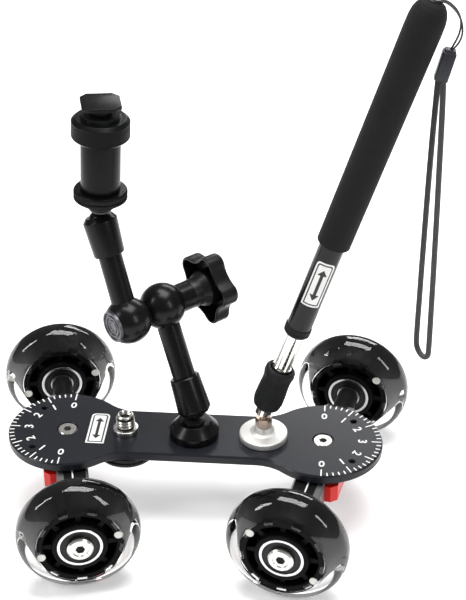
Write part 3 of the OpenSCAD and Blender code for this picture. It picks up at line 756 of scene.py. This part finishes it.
def label_parts(width, height):
    """White plate, black frame, white field and black sign, each a hair above the last."""
    insets = (0, LABEL_BORDER, LABEL_BORDER + LABEL_FRAME)
    levels = (0, PRINT_H, PRINT_H * 1.5, PRINT_H * 2)
    parts = []
    for k, (part, finish) in enumerate((("plate", "print_white"), ("frame", "print_black"),
                                        ("field", "print_white"))):
        shape = label_outline(width - 2 * insets[k], height - 2 * insets[k], LABEL_CORNERS[k])
        parts.append((part, slab(shape, levels[k], levels[k + 1]), finish))
    field_w, field_h = width - 2 * insets[2], height - 2 * insets[2]
    sign = arrow(field_h * ARROW_LENGTH, field_w * ARROW_WIDTH, field_w * ARROW_HEAD, PRINT_H / 2)
    parts.append(("sign", (sign, straight((0, 0, levels[3]))), "print_black"))
    return parts


LABEL_AT = Vector((-49.5, 1.0, DECK_TOP))
LABEL_H = 25
DECK_LABEL_W = 9.4
TUBE_LABEL_W = 9.6
for part, mesh, finish in label_parts(DECK_LABEL_W, LABEL_H):
    piece("deck_label_" + part, joined(mesh), straight(LABEL_AT), finish, "deck",
          smooth=False)

TUBE_R = 6.1
TUBE_LABEL_AT = 82
TUBE_LABEL_TURN = radians(-90)
WRAP_CUTS = 10


def wrap(bm, radius):
    """Wraps a flat drawing round the tube's axis: X goes round, Y along, Z outwards."""
    bmesh.ops.triangulate(bm, faces=bm.faces)
    reach = max(vert.co.x for vert in bm.verts)
    for step in range(1 - WRAP_CUTS, WRAP_CUTS):
        everything = bm.verts[:] + bm.edges[:] + bm.faces[:]
        bmesh.ops.bisect_plane(bm, geom=everything, plane_co=(reach * step / WRAP_CUTS, 0, 0),
                               plane_no=(1, 0, 0))
    for vert in bm.verts:
        angle, out, up = vert.co.x / radius, radius + vert.co.z, vert.co.y
        vert.co = (out * cos(angle), out * sin(angle), up)
    return bm


label_place = HANDLE @ straight((0, 0, TUBE_LABEL_AT)) @ about_z(TUBE_LABEL_TURN)
for part, mesh, finish in label_parts(TUBE_LABEL_W, LABEL_H):
    piece("tube_label_" + part, wrap(joined(mesh), TUBE_R), label_place,
          finish, "handle_grip", smooth=False)


# ---- trucks: index plates

BOSS_H = 1.1
BEAM_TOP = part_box("truck_beam_l")[1].z / MM - BOSS_H
INDEX_IN = 4.4
INDEX_OUT = 6.6
INDEX_START = 10
INDEX_END = 38.5
INDEX_T = 0.35
INDEX_SINK = 0.01
LINE_START = 27.6
LINE_LENGTH = 8.4
LINE_W = 0.7


def add_index_plates(side, sign):
    body = "truck_" + side
    pivot = joint_at("truck_%s_swivel" % side)
    axis = joint_axis("wheel_front_%s_roll" % side)
    heading = atan2(axis.y, axis.x)
    place = straight((pivot.x, 0, BEAM_TOP)) @ about_z(heading)
    low, high = (-INDEX_IN, INDEX_OUT) if sign < 0 else (-INDEX_OUT, INDEX_IN)
    outline = rounded([(INDEX_START, low), (INDEX_END, low, 1), (INDEX_END, high, 1),
                       (INDEX_START, high)])
    plates, lines = [], []
    for way in (1, -1):
        turn = Matrix.Scale(way, 4, (1, 0, 0))
        plates.append((slab(lambda inset: outline, INDEX_SINK, INDEX_T), turn))
        line_at = straight((LINE_START, 0, INDEX_T))
        lines.append((bar(LINE_LENGTH, LINE_W, PRINT_H), turn @ line_at))
    for name, parts, finish in (("plates_", plates, "black_plastic"),
                                ("lines_", lines, "print_white")):
        piece("index_" + name + side, outward(joined(*parts)), place, finish, body,
              smooth=False)


add_index_plates("l", -1)
add_index_plates("r", 1)


# ---- wheels

WHEEL_R = 30
WHEEL_HALF = 12
CROWN = 11
CROWN_POWER = 2.6
CROWN_STEPS = 20
CORE_R = 21
CORE_HALF = 10.4
CORE_EDGE = 0.5
RIM_INNER_R = 17.6
RIM_EDGE = 0.4
GRIP_SINK = 0.2
SIDE_GAP = 0.1
TYRE_EDGE = WHEEL_HALF * ((WHEEL_R - CORE_R) / CROWN) ** (1 / CROWN_POWER)
NOTCHES = 9
NOTCH_W = 5
NOTCH_DEPTH = 3
NOTCH_FLOOR = 18.9
# Angles and heights that make a notch's walls stand straight
WALL_ANGLE = 1e-4
WALL_STEP = 0.01
HUB_R = 13.2
HUB_CROWN = 0.8
HUB_EDGE = 0.7
BEARING_R = 11
BEARING_FACE = 11.3
BEARING_LOW = 4.3
BEARING_GAP = 0.01
RACE_WALL = 1.5
SHOULDER_R = 9.5
WEB_HALF = 1.6
RIBS = 8
RIB_HALF = 8.6
RIB_W = 2.2


def tyre_mesh():
    """Clear urethane: a round crown outside, and a band that grips into the core's notches."""
    crown = []
    for step in range(-CROWN_STEPS, CROWN_STEPS + 1):
        s = TYRE_EDGE * step / CROWN_STEPS
        crown.append((WHEEL_R - CROWN * (abs(s) / WHEEL_HALF) ** CROWN_POWER, s))
    side, grip_r, seat_r = CORE_HALF - SIDE_GAP, NOTCH_FLOOR - GRIP_SINK, CORE_R - CORE_EDGE
    return lathe(crown + [(seat_r, side), (grip_r, side), (grip_r, -side), (seat_r, -side)], 128)


def notched_rim():
    """The core's rim, with notches in both edges of its outer face."""
    half_angle = NOTCH_W / CORE_R / 2
    angles = []
    for k in range(NOTCHES):
        middle = tau * k / NOTCHES
        span = tau / NOTCHES - 2 * half_angle
        angles += [middle - half_angle, middle - half_angle + WALL_ANGLE]
        angles += [middle + half_angle - WALL_ANGLE, middle + half_angle]
        angles += [middle + half_angle + span * step / 10 for step in range(1, 10)]
    h, n = CORE_HALF, CORE_HALF - NOTCH_DEPTH

    def notch(radius, z, angle):
        off = (angle + half_angle) % (tau / NOTCHES)
        inside = WALL_ANGLE / 2 < off < 2 * half_angle - WALL_ANGLE / 2
        return min(radius, NOTCH_FLOOR) if inside and abs(z) > n + WALL_STEP / 10 else radius

    lower = [(RIM_INNER_R, RIM_EDGE - h), (RIM_INNER_R + RIM_EDGE, -h), (CORE_R - CORE_EDGE, -h),
             (CORE_R, CORE_EDGE - h), (CORE_R, -n - WALL_STEP), (CORE_R, -n)]
    upper = [(r, -z) for r, z in reversed(lower)]
    return lathe(lower + upper, shape=notch, angles=sorted(a % tau for a in angles))


def rib_mesh():
    """One rib between hub and rim, thinner towards the rim."""
    root, tip = (HUB_R - 0.6, RIB_W * 0.7), (RIM_INNER_R + 0.3, RIB_W * 0.45)
    points = rounded([(root[0], -root[1]), (tip[0], -tip[1]), tip, root])
    return slab(lambda inset: points, -RIB_HALF, RIB_HALF)


def core_mesh():
    seat_r, face = BEARING_R - BEARING_GAP, BEARING_FACE
    hub = rounded([(SHOULDER_R, -BEARING_LOW), (seat_r, -BEARING_LOW), (seat_r, -face),
                   (HUB_R, -face, HUB_EDGE), (HUB_R + HUB_CROWN, 0), (HUB_R, face, HUB_EDGE),
                   (seat_r, face), (seat_r, BEARING_LOW), (SHOULDER_R, BEARING_LOW)])
    web_in, web_out = HUB_R - 0.5, RIM_INNER_R + RIM_EDGE
    web = [(web_in, -WEB_HALF), (web_out, -WEB_HALF), (web_out, WEB_HALF), (web_in, WEB_HALF)]
    ribs = [(rib_mesh(), about_z(tau * k / RIBS)) for k in range(RIBS)]
    return joined(notched_rim(), lathe(hub), lathe(web), *ribs)


FACES = [Matrix.Rotation(turn, 4, "X") for turn in (0, pi)]


def both_faces(outline):
    """An outline turned round Z, once for each face of the wheel."""
    return [(lathe(outline), face) for face in FACES]


RACE = rounded([
    (BEARING_R - RACE_WALL, BEARING_LOW), (BEARING_R, BEARING_LOW), (BEARING_R, BEARING_FACE, 0.4),
    (BEARING_R - RACE_WALL, BEARING_FACE, 0.25),
])
# A rubber shield with two shallow steps: radius, and depth under the bearing's face
SHIELD = [(r, BEARING_FACE - depth) for r, depth in (
    (6.15, 1.2), (9.55, 1.2), (9.55, 0.3), (9.2, 0.25), (8.9, 0.55), (7.6, 0.55), (7.3, 0.35),
    (6.4, 0.35), (6.15, 0.6))]

PORT_R = 2.1
PORT_AT = 19.1
PORT_SINK = 0.4
PORT_PROUD = 0.12
PORT_CROWN = 0.18
PORT_TURNS = {("front", "l"): 104, ("front", "r"): 55, ("rear", "l"): 75, ("rear", "r"): 50}
PORT = rounded([
    (0, CORE_HALF - PORT_SINK), (PORT_R, CORE_HALF - PORT_SINK),
    (PORT_R, CORE_HALF + PORT_PROUD, 0.1), (0, CORE_HALF + PORT_CROWN),
])


def port_mesh():
    """Two round spots on each face of the core, where the clear tyre grips through its rim."""
    spots = []
    for face in FACES:
        for side in (1, -1):
            spots.append((lathe(PORT, 24), face @ straight((side * PORT_AT, 0, 0))))
    return joined(*spots)


for row, side in WHEELS:
    tag = "%s_%s" % (row, side)
    wheel = "wheel_" + tag
    place = along(joint_at(wheel + "_roll"), joint_axis(wheel + "_roll"))
    piece("wheel_tyre_" + tag, tyre_mesh(), place, "clear_urethane", wheel,
          replaces=["tyre_" + tag])
    piece("wheel_core_" + tag, core_mesh(), place, "core_black", wheel,
          ["core_" + tag])
    piece("bearing_rings_" + tag, outward(joined(*both_faces(RACE))), place, "bearing_steel",
          wheel, replaces=["outer_races_" + tag])
    piece("bearing_shields_" + tag, joined(*both_faces(SHIELD)), place, "black_plastic", wheel)
    port_turn = about_z(radians(PORT_TURNS[row, side]))
    piece("core_ports_" + tag, port_mesh(), place @ port_turn, "port_urethane", wheel)


# ---- hex sockets of the pivot screws and the axle bolts: dark floors that paint the shade deep inside them

HEX_SIDES = 6
PIVOT_HEX_R = 2.06
PIVOT_HEX_LOW = 2.19
PIVOT_HEX_HIGH = 1.0
AXLE_HEX_R = 2.35
AXLE_HEX_LOW = 0.89
AXLE_HEX_HIGH = 0.6


def shade_hex_floor(radius, low, high):
    """The drilled floor of a hex socket, with a dip in its middle; its dark finish is painted shade deep in the
    socket.
    """
    dip = [(radius, high), (radius * 0.55, high - 0.1), (0, high - 0.7)]
    return lathe([(0, low), (radius, low), *dip], HEX_SIDES)


# Painted shade: a dark hex floor in each pivot screw's socket and each axle bolt's socket.
for side in ("l", "r"):
    pivot = joint_at("truck_%s_swivel" % side)
    heading = joint_axis("wheel_front_%s_roll" % side)
    turned = about_z(atan2(heading.y, heading.x) + pi / 2)
    piece("pivot_socket_shade_" + side,
          shade_hex_floor(PIVOT_HEX_R, DECK_TOP - PIVOT_HEX_LOW, DECK_TOP - PIVOT_HEX_HIGH),
          straight((pivot.x, 0, 0)) @ turned, "painted_shade_hollow", "truck_" + side,
          smooth=False)
    shade_floors = []
    for row in ("front", "rear"):
        wheel = "wheel_%s_%s_roll" % (row, side)
        shade_floors.append((
            shade_hex_floor(AXLE_HEX_R, BEARING_FACE - AXLE_HEX_LOW, BEARING_FACE + AXLE_HEX_HIGH),
            along(joint_at(wheel), joint_axis(wheel))))
    piece("axle_socket_shades_" + side, joined(*shade_floors), Matrix(), "painted_shade_hollow", "truck_" + side,
          smooth=False)


# ---- camera stud

THREAD_STEPS = 48


def thread(outer, inner, pitch, low, high):
    """A helical thread surface between two heights, fading in and out over a turn."""
    bm = bmesh.new()
    steps = THREAD_STEPS
    count = int((high - low) / pitch * steps)
    roots, crests = [], []
    for k in range(count + steps + 1):
        angle = tau * k / steps
        z = low + pitch * k / steps
        way = Vector((cos(angle), sin(angle), 0))
        fade = min(1.0, k / steps, (count + steps - k) / steps)
        crest = inner + (outer - inner) * fade
        roots.append(bm.verts.new(way * inner + Vector((0, 0, min(z, high)))))
        crests.append(bm.verts.new(way * crest + Vector((0, 0, min(z + pitch / 2, high)))))
    for k in range(count + steps):
        bm.faces.new((roots[k], roots[k + 1], crests[k + 1], crests[k]))
        if k + steps + 1 < len(roots):
            bm.faces.new((crests[k], crests[k + 1], roots[k + steps + 1], roots[k + steps]))
    return outward(bm)


STUD_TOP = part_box("camera_stud")[1].z / MM
STUD_LOW = 31
STUD_SHANK_R = 4.9
STUD_FLANGE_R = 6.35
STUD_FLANGE_TOP = DECK_TOP + 2.7
STUD_ROOT_R = 4.2
STUD_TIP_R = 3.7
STUD_MOUTH_R = 3.2
STUD_LEAD = 0.6
SHADE_PROUD = 0.04
STUD_HOLE_R = 2.6
STUD_HOLE_DEPTH = 8
GROOVE_R = 3.1
GROOVES = 5
GROOVE_PITCH = 1.27
THREAD_R = 4.76
THREAD_IN_R = 4.15
THREAD_PITCH = 1.5875
THREAD_CLEAR = 2.2


def inner_thread(top):
    """The grooves of the 1/4 inch thread in the stud's hole, as an outline going down."""
    points = []
    for turn in range(GROOVES):
        z = top - turn * GROOVE_PITCH
        points += [(STUD_HOLE_R, z), (GROOVE_R, z - 0.45 * GROOVE_PITCH),
                   (GROOVE_R, z - 0.55 * GROOVE_PITCH), (STUD_HOLE_R, z - 0.95 * GROOVE_PITCH)]
    return points


stud_outline = rounded([
    (0, STUD_LOW), (STUD_SHANK_R, STUD_LOW), (STUD_SHANK_R, DECK_TOP + 0.1),
    (STUD_FLANGE_R, DECK_TOP + 0.1, 0.3), (STUD_FLANGE_R, STUD_FLANGE_TOP, 0.5),
    (STUD_ROOT_R, STUD_FLANGE_TOP), (STUD_ROOT_R, STUD_TOP - STUD_LEAD),
    (STUD_TIP_R, STUD_TOP, 0.2), (STUD_MOUTH_R, STUD_TOP, 0.2), (2.9, STUD_TOP - 0.4),
    *inner_thread(STUD_TOP - 0.8), (0, STUD_TOP - STUD_HOLE_DEPTH),
])
piece("stud_body", lathe(stud_outline), straight(STUD_AT), "bright_steel", "stud_screw",
      replaces=["camera_stud"])


def painted_shade_sleeve():
    """Painted shade: a dark ring between the thread's turns, and the dark bottom of the stud's hole."""
    low, high = STUD_FLANGE_TOP - 0.1, STUD_TOP - 2 * STUD_LEAD
    inner, outer = STUD_ROOT_R - 0.3, STUD_ROOT_R + SHADE_PROUD
    roots = [(inner, low), (outer, low), (outer, high), (inner, high)]
    floor_r, floor = STUD_HOLE_R - 0.02, STUD_TOP - STUD_HOLE_DEPTH + 0.1
    hole = [(0, floor), (floor_r, floor), (floor_r, STUD_TOP - 2.2), (0, STUD_TOP - 3.4)]
    return joined(lathe(roots), lathe(hole))


# Painted shade between the thread's turns and deep in the stud's hole.
piece("stud_painted_shade", painted_shade_sleeve(), straight(STUD_AT), "painted_shade_hollow", "stud_screw")
stud_thread = thread(THREAD_R, THREAD_IN_R, THREAD_PITCH, DECK_TOP + THREAD_CLEAR,
                     STUD_TOP - THREAD_CLEAR)
piece("stud_thread", stud_thread, straight(STUD_AT), "bright_steel", "stud_screw")

THUMB_R = 15.5
THUMB_BORE_R = 5.1
wheel_low, wheel_high = (corner.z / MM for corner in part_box("stud_thumbwheel"))
wheel_outline = rounded([
    (THUMB_BORE_R, wheel_low, 0.2), (14.3, wheel_low, 0.6), (THUMB_R, wheel_low + 1.2, 0.4),
    (THUMB_R, wheel_low + 2.4, 0.3), (14.6, wheel_low + 3, 0.2), (THUMB_R, wheel_low + 3.6, 0.3),
    (THUMB_R, wheel_low + 5.2, 0.4), (14.8, wheel_low + 5.8, 0.2), (15.2, wheel_high - 0.6, 0.4),
    (13.4, wheel_high, 0.3), (THUMB_BORE_R, wheel_high, 0.2),
])
wheel_grip = knurl(60, 0.35, wheel_low + 1, wheel_low + 5.4, THUMB_R - 0.5)
piece("stud_knurled_wheel", lathe(wheel_outline, 240, wheel_grip), straight(STUD_AT),
      "black_plastic", "stud_screw", replaces=["stud_thumbwheel"])


# ---- arm

BASE_R = 12.5
BASE_TOP_R = 8.2
BASE_BORE_R = 3.2
BASE_RIM_TOP = DECK_TOP + 4.2
BASE_TOP = DECK_TOP + 8.8
base_outline = rounded([
    (BASE_BORE_R, DECK_TOP), (BASE_R, DECK_TOP, 0.2), (BASE_R, BASE_RIM_TOP, 0.5),
    (BASE_TOP_R, BASE_TOP, 0.5), (BASE_BORE_R, BASE_TOP),
])
piece("arm_base_cone", lathe(base_outline), straight((0, 0, 0)), "black_metal", "deck",
      replaces=["arm_base"])

# Outside from the mouth up to the tail, then the tube's seat, the cup's bore and the ball's seat
SOCKET_MOUTH = -3.2
SOCKET_END = 16.8
SOCKET = rounded([
    (5.45, SOCKET_MOUTH, 0.15), (6.6, SOCKET_MOUTH, 0.5), (8.5, -0.8, 0.9),
    (7.6, SOCKET_END - 0.6, 0.5), (7.0, SOCKET_END, 0.3), (5.82, SOCKET_END, 0.2),
    (5.82, 10.6), (5.3, 10.6), (5.3, 3.4), (6.2, 1), (6.3, 0), (6.2, -1),
])
for name, place, body in (("lower", LOWER_ARM, "lower_arm"), ("upper", UPPER_ARM, "upper_arm")):
    piece(name + "_socket_barrel", lathe(SOCKET), place, "black_metal", body,
          replaces=[name + "_socket"])


# ---- elbow: end cap and star knob

ELBOW_GAP = 20.4
CAP = along(joint_at("elbow_bend") - ELBOW_AXIS * ELBOW_GAP, -ELBOW_AXIS)
CAP_R = 7.9
CAP_SEAT = 6.6
CAP_FLOOR = 8.9
CAP_TOP = 9.6
# A flat cap with a raised rim and two raised rings
cap_outline = rounded([
    (0, CAP_SEAT), (CAP_R, CAP_SEAT), (CAP_R, CAP_TOP, 0.3), (6.9, CAP_TOP, 0.3),
    (6.5, CAP_FLOOR, 0.1), (5.7, CAP_FLOOR, 0.1), (5.4, 9.5, 0.2), (4.7, 9.5, 0.2),
    (4.4, CAP_FLOOR, 0.1), (3.6, CAP_FLOOR, 0.1), (3.3, 9.3, 0.1), (2.6, 9.3, 0.1),
    (2.3, CAP_FLOOR, 0.1), (0, CAP_FLOOR),
])
piece("elbow_ribbed_cap", lathe(cap_outline), CAP, "cap_metal", "upper_arm",
      replaces=["elbow_end_cap"])

LOBES = 5
LOBE_R = 5.6
LOBE_AT = 13.4
LOBE_TURN = radians(48)
HOLLOW_LOW = 14.5
KNOB_LOW = 24.6
KNOB_HIGH = 34
KNOB_WALL = 1.5
KNOB_RIM = 0.35
KNOB_CROWN = 2.4
KNOB_FACE = 2.2
KNOB_HUB_R = 9.3
SLEEVE_R = 7.3
KNOB_BORE_R = 3.05
BOSS_R = 7.2
LOBE_STEPS = 12
HOLLOW_STEPS = 8
CROWN_CUTS = 6


def star_outline(inset):
    """Five round lobes joined by round hollows that touch them, drawn inset from the rim."""
    half = pi / LOBES
    reach = LOBE_AT * cos(half)
    hollow_r = (LOBE_R ** 2 - LOBE_AT ** 2 - HOLLOW_LOW ** 2 + 2 * reach * HOLLOW_LOW) / (
        2 * (HOLLOW_LOW - reach - LOBE_R))
    hollow_at = HOLLOW_LOW + hollow_r
    rise = hollow_at * sin(half)
    run = hollow_at * cos(half) - LOBE_AT
    lobe_end = atan2(rise, run)
    hollow_half = lobe_end - half
    points = []
    for k in range(LOBES):
        middle = LOBE_TURN + 2 * half * k
        centre = Vector((cos(middle), sin(middle))) * LOBE_AT
        for step in range(LOBE_STEPS + 1):
            angle = middle - lobe_end + 2 * lobe_end * step / LOBE_STEPS
            points.append(centre + (LOBE_R - inset) * Vector((cos(angle), sin(angle))))
        centre = Vector((cos(middle + half), sin(middle + half))) * hollow_at
        for step in range(1, HOLLOW_STEPS):
            angle = middle + half + pi + hollow_half - 2 * hollow_half * step / HOLLOW_STEPS
            points.append(centre + (hollow_r + inset) * Vector((cos(angle), sin(angle))))
    return points


def star_shell():
    """A star with a rounded front edge, hollow from behind."""
    inside = [(KNOB_HIGH - KNOB_FACE, KNOB_WALL + 0.6), (KNOB_LOW + 1, KNOB_WALL),
              (KNOB_LOW, KNOB_WALL - KNOB_RIM), (KNOB_LOW, KNOB_RIM)]
    outside = [(KNOB_LOW + KNOB_RIM, 0)]
    for step in range(CROWN_CUTS + 1):
        angle = pi / 2 * step / CROWN_CUTS
        outside.append((KNOB_HIGH - KNOB_CROWN * (1 - sin(angle)),
                        KNOB_CROWN * (1 - cos(angle))))
    return stacked(star_outline, inside + outside)


hub_top = KNOB_HIGH - KNOB_FACE + 0.1
knob_neck = rounded([
    (KNOB_BORE_R, 16.1), (SLEEVE_R, 16.1, 0.3), (SLEEVE_R, 20.6, 0.4), (KNOB_HUB_R, 24.4, 0.8),
    (KNOB_HUB_R, hub_top), (KNOB_BORE_R, hub_top),
])
boss_low, boss_high = KNOB_HIGH - 0.5, KNOB_HIGH + 0.3
knob_boss = rounded([(0, boss_low), (BOSS_R, boss_low), (BOSS_R, boss_high, 0.3), (0, boss_high)])
piece("star_knob_body", joined(star_shell(), lathe(knob_neck), lathe(knob_boss)), KNOB,
      "black_plastic", "knob", replaces=["star_knob"])


# ---- shoe adapter

FLANGE_R = 12.9
FLANGE_LOW = 12.3
FLANGE_HIGH = 18.1
SCREW_BORE_R = 3.25
flange_outline = rounded([
    (SCREW_BORE_R, FLANGE_LOW), (11.3, FLANGE_LOW, 0.3), (FLANGE_R, 13.5, 0.3),
    (FLANGE_R, 14.7, 0.15), (12.3, 15.1, 0.1), (FLANGE_R, 15.5, 0.15), (FLANGE_R, 17.4, 0.3),
    (12.2, FLANGE_HIGH, 0.2), (SCREW_BORE_R, FLANGE_HIGH),
])
flange_grip = knurl(72, 0.3, 13.4, 17.5, FLANGE_R - 0.4)
piece("lock_flange_rim", lathe(flange_outline, 288, flange_grip), HEAD,
      "black_knurled", "lock_flange", replaces=["lock_flange"])

RING_LOW = 44.4
RING_HIGH = 55.3
RING_R = 13.8
RING_BORE_R = 5.6
RING_BOSS_R = 9.5
RING_BOSS = 56.4
ring_outline = rounded([
    (RING_BORE_R, RING_LOW), (RING_R - 1.8, RING_LOW, 0.5), (RING_R, RING_LOW + 1.6, 0.4),
    (RING_R, RING_HIGH - 1.6, 0.4), (RING_R - 1.8, RING_HIGH, 0.4),
    (RING_BOSS_R, RING_HIGH, 0.15), (RING_BOSS_R, RING_BOSS, 0.35), (RING_BORE_R, RING_BOSS),
])
ring_grip = diamonds(56, 1.5, 0.3, RING_LOW + 2, RING_HIGH - 2, RING_R - 0.3)
piece("thumb_ring_rim", lathe(finely(ring_outline, 0.3), 336, ring_grip), HEAD,
      "black_knurled", "thumb_ring", replaces=["thumb_ring"])

BARREL_R = 9.5
BARREL_BORE_R = 3.2
BARREL_LOW = 18.2
BARREL_TOP = RING_LOW - 0.1
barrel_outline = rounded([
    (BARREL_BORE_R, BARREL_LOW), (BARREL_R, BARREL_LOW, 0.4), (BARREL_R, BARREL_TOP, 0.4),
    (BARREL_BORE_R, BARREL_TOP),
])
STEM_R = 5.5
FOOT_LOW = 61.3
FOOT_HIGH = 63.3
stem_outline = [(0, RING_LOW - 0.6), (STEM_R, RING_LOW - 0.6), (STEM_R, FOOT_LOW + 0.3),
                (0, FOOT_LOW + 0.3)]
FOOT_TURN = about_z(radians(14))
FOOT_W = 18.6
FOOT_D = 18
FOOT_CLIP = 3.2
FOOT_CORNER = 0.8
FOOT_EDGE = 0.35


def foot_outline(inset):
    """A square with clipped corners."""
    w, d, c = FOOT_W / 2 - inset, FOOT_D / 2 - inset, FOOT_CLIP - inset * 0.4
    corners = ((c - w, -d), (w - c, -d), (w, c - d), (w, d - c), (w - c, d), (c - w, d),
               (-w, d - c), (-w, c - d))
    return rounded([(x, y, FOOT_CORNER) for x, y in corners])


piece("shoe_adapter_body",
      joined(lathe(barrel_outline), lathe(stem_outline),
             (slab(foot_outline, FOOT_LOW, FOOT_HIGH, edge=FOOT_EDGE), FOOT_TURN)),
      HEAD, "black_knurled", "head", replaces=["shoe_body"])


# ---- handle

DISC_R = 12.25
DISC_BORE_R = 3.2
DISC_TOP = 7.4
disc_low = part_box("handle_disc")[0].z / MM
disc_outline = rounded([(point[0], disc_low + point[1], *point[2:]) for point in (
    (DISC_BORE_R, 0), (11.9, 0, 0.2), (DISC_R, 0.4, 0.2), (DISC_R, 3, 0.3), (11.6, 3.4, 0.3),
    (6.8, 3.9, 0.8), (5.2, 4.6, 0.4), (4.4, DISC_TOP, 0.3), (DISC_BORE_R, DISC_TOP))])
disc_grip = knurl(96, 0.28, disc_low + 0.3, disc_low + 3.1, DISC_R - 0.25)
piece("handle_foot_disc", lathe(disc_outline, 384, disc_grip), straight(FOOT_AT),
      "disc_nickel", "handle_foot", ["handle_disc"])

SLEEVE_LOW = 2.6
SLEEVE_HIGH = 27.6
SLEEVE_SEAT = 24
SLEEVE_BALL_R = 4.6
SLEEVE_TUBE_R = 5.4
sleeve_outline = rounded([
    (SLEEVE_BALL_R, SLEEVE_LOW, 0.2), (4.95, SLEEVE_LOW, 0.2), (6.7, 4.2, 0.8), (7.5, 7.6, 1.5),
    (7.4, 12.6, 2), (7.0, 19.6, 3), (7.3, 22.6, 1), (7.7, 24.2, 0.6), (7.5, 26.6, 0.6),
    (6.6, SLEEVE_HIGH, 0.5), (SLEEVE_TUBE_R, SLEEVE_HIGH, 0.4), (SLEEVE_TUBE_R, SLEEVE_SEAT),
    (SLEEVE_BALL_R, SLEEVE_SEAT),
])
sleeve_grip = diamonds(20, 2.3, 0.32, 6, 22.5, 6.3)
piece("handle_rubber_sleeve", lathe(finely(sleeve_outline, 0.45), 320, sleeve_grip), HANDLE,
      "black_rubber", "handle_rod", replaces=["rubber_sleeve"])

END_RING_LOW = 49.4
END_RING_BORE_R = 4.45
TUBE_END = 52
end_ring_outline = rounded([
    (END_RING_BORE_R, END_RING_LOW), (5.6, END_RING_LOW, 0.3), (6.5, 50.4, 0.3), (6.6, 51.6, 0.2),
    (6.3, 52, 0.1), (6.6, 52.4, 0.2), (6.6, 53.9, 0.3), (TUBE_R, 54.8, 0.1), (TUBE_R, TUBE_END),
    (END_RING_BORE_R, TUBE_END),
])
piece("tube_end_ring", lathe(end_ring_outline), HANDLE, "black_rubber", "handle_grip",
      replaces=["end_ring"])

GRIP_LOW = 102.6
GRIP_END = 229.7
GRIP_SEAT = 221
CAP_BORE_R = 3.3
grip_outline = rounded([
    (TUBE_R, GRIP_LOW), (7.6, GRIP_LOW, 0.4), (8.1, GRIP_LOW + 0.6, 0.4), (8.3, 152.6, 30),
    (8.6, 215.7, 4), (8.5, 220.7, 3), (8.0, 223.7, 2.5), (7.1, 226.1, 1.5), (5.8, 228, 1.5),
    (4.0, 229.2, 1.5), (CAP_BORE_R, GRIP_END, 0.3), (CAP_BORE_R, GRIP_SEAT), (TUBE_R, GRIP_SEAT),
])
piece("handle_foam_grip", lathe(grip_outline), HANDLE, "foam", "handle_grip",
      replaces=["foam_grip"])


# ---- finishes of the CAD nodes that stay

SLOT_OF = {row["node"]: row["material_slot"] for row in frame["record"]["subparts"]}
for node, made in NODES.items():
    if made.hide_render:
        continue
    made.data.materials.clear()
    made.data.materials.append(MAT[SLOT_OF[node]])


# ---- studio


FLOOR_HALF = 4
WORLD_STRENGTH = 0.2
LIGHTS = {
    "top": ((0.05, 0.15, 1.4), (1.1, 0.8), 26),
    "left": ((-1.1, -0.5, 0.9), (0.22, 0.8), 7),
    "right": ((0.95, -0.75, 0.8), (0.2, 0.7), 4),
    "back": ((0.3, 1.3, 0.8), (0.9, 0.3), 6),
}
LIGHTS_AIM = Vector((0, 0, 0.1))


def add_floor():
    bm = bmesh.new()
    bmesh.ops.create_grid(bm, x_segments=1, y_segments=1, size=FLOOR_HALF)
    mesh = bpy.data.meshes.new("floor")
    bm.to_mesh(mesh)
    bm.free()
    studio_white()
    mesh.materials.append(MAT["studio_white"])
    placed("floor", mesh)


def add_light(name, place, size, power):
    data = bpy.data.lights.new(name, "AREA")
    data.shape = "RECTANGLE"
    data.size, data.size_y = size
    data.energy = power
    light = placed(name, data)
    light.location = place
    light.rotation_euler = (LIGHTS_AIM - Vector(place)).to_track_quat("-Z", "Y").to_euler()


def add_studio():
    world = bpy.data.worlds.new("studio")
    world.use_nodes = True
    background = world.node_tree.nodes["Background"]
    background.inputs["Color"].default_value = (1, 1, 1, 1)
    background.inputs["Strength"].default_value = WORLD_STRENGTH
    bpy.context.scene.world = world
    bpy.context.scene.view_settings.view_transform = "Standard"
    add_floor()
    for name, light in LIGHTS.items():
        add_light(name, *light)


add_studio()
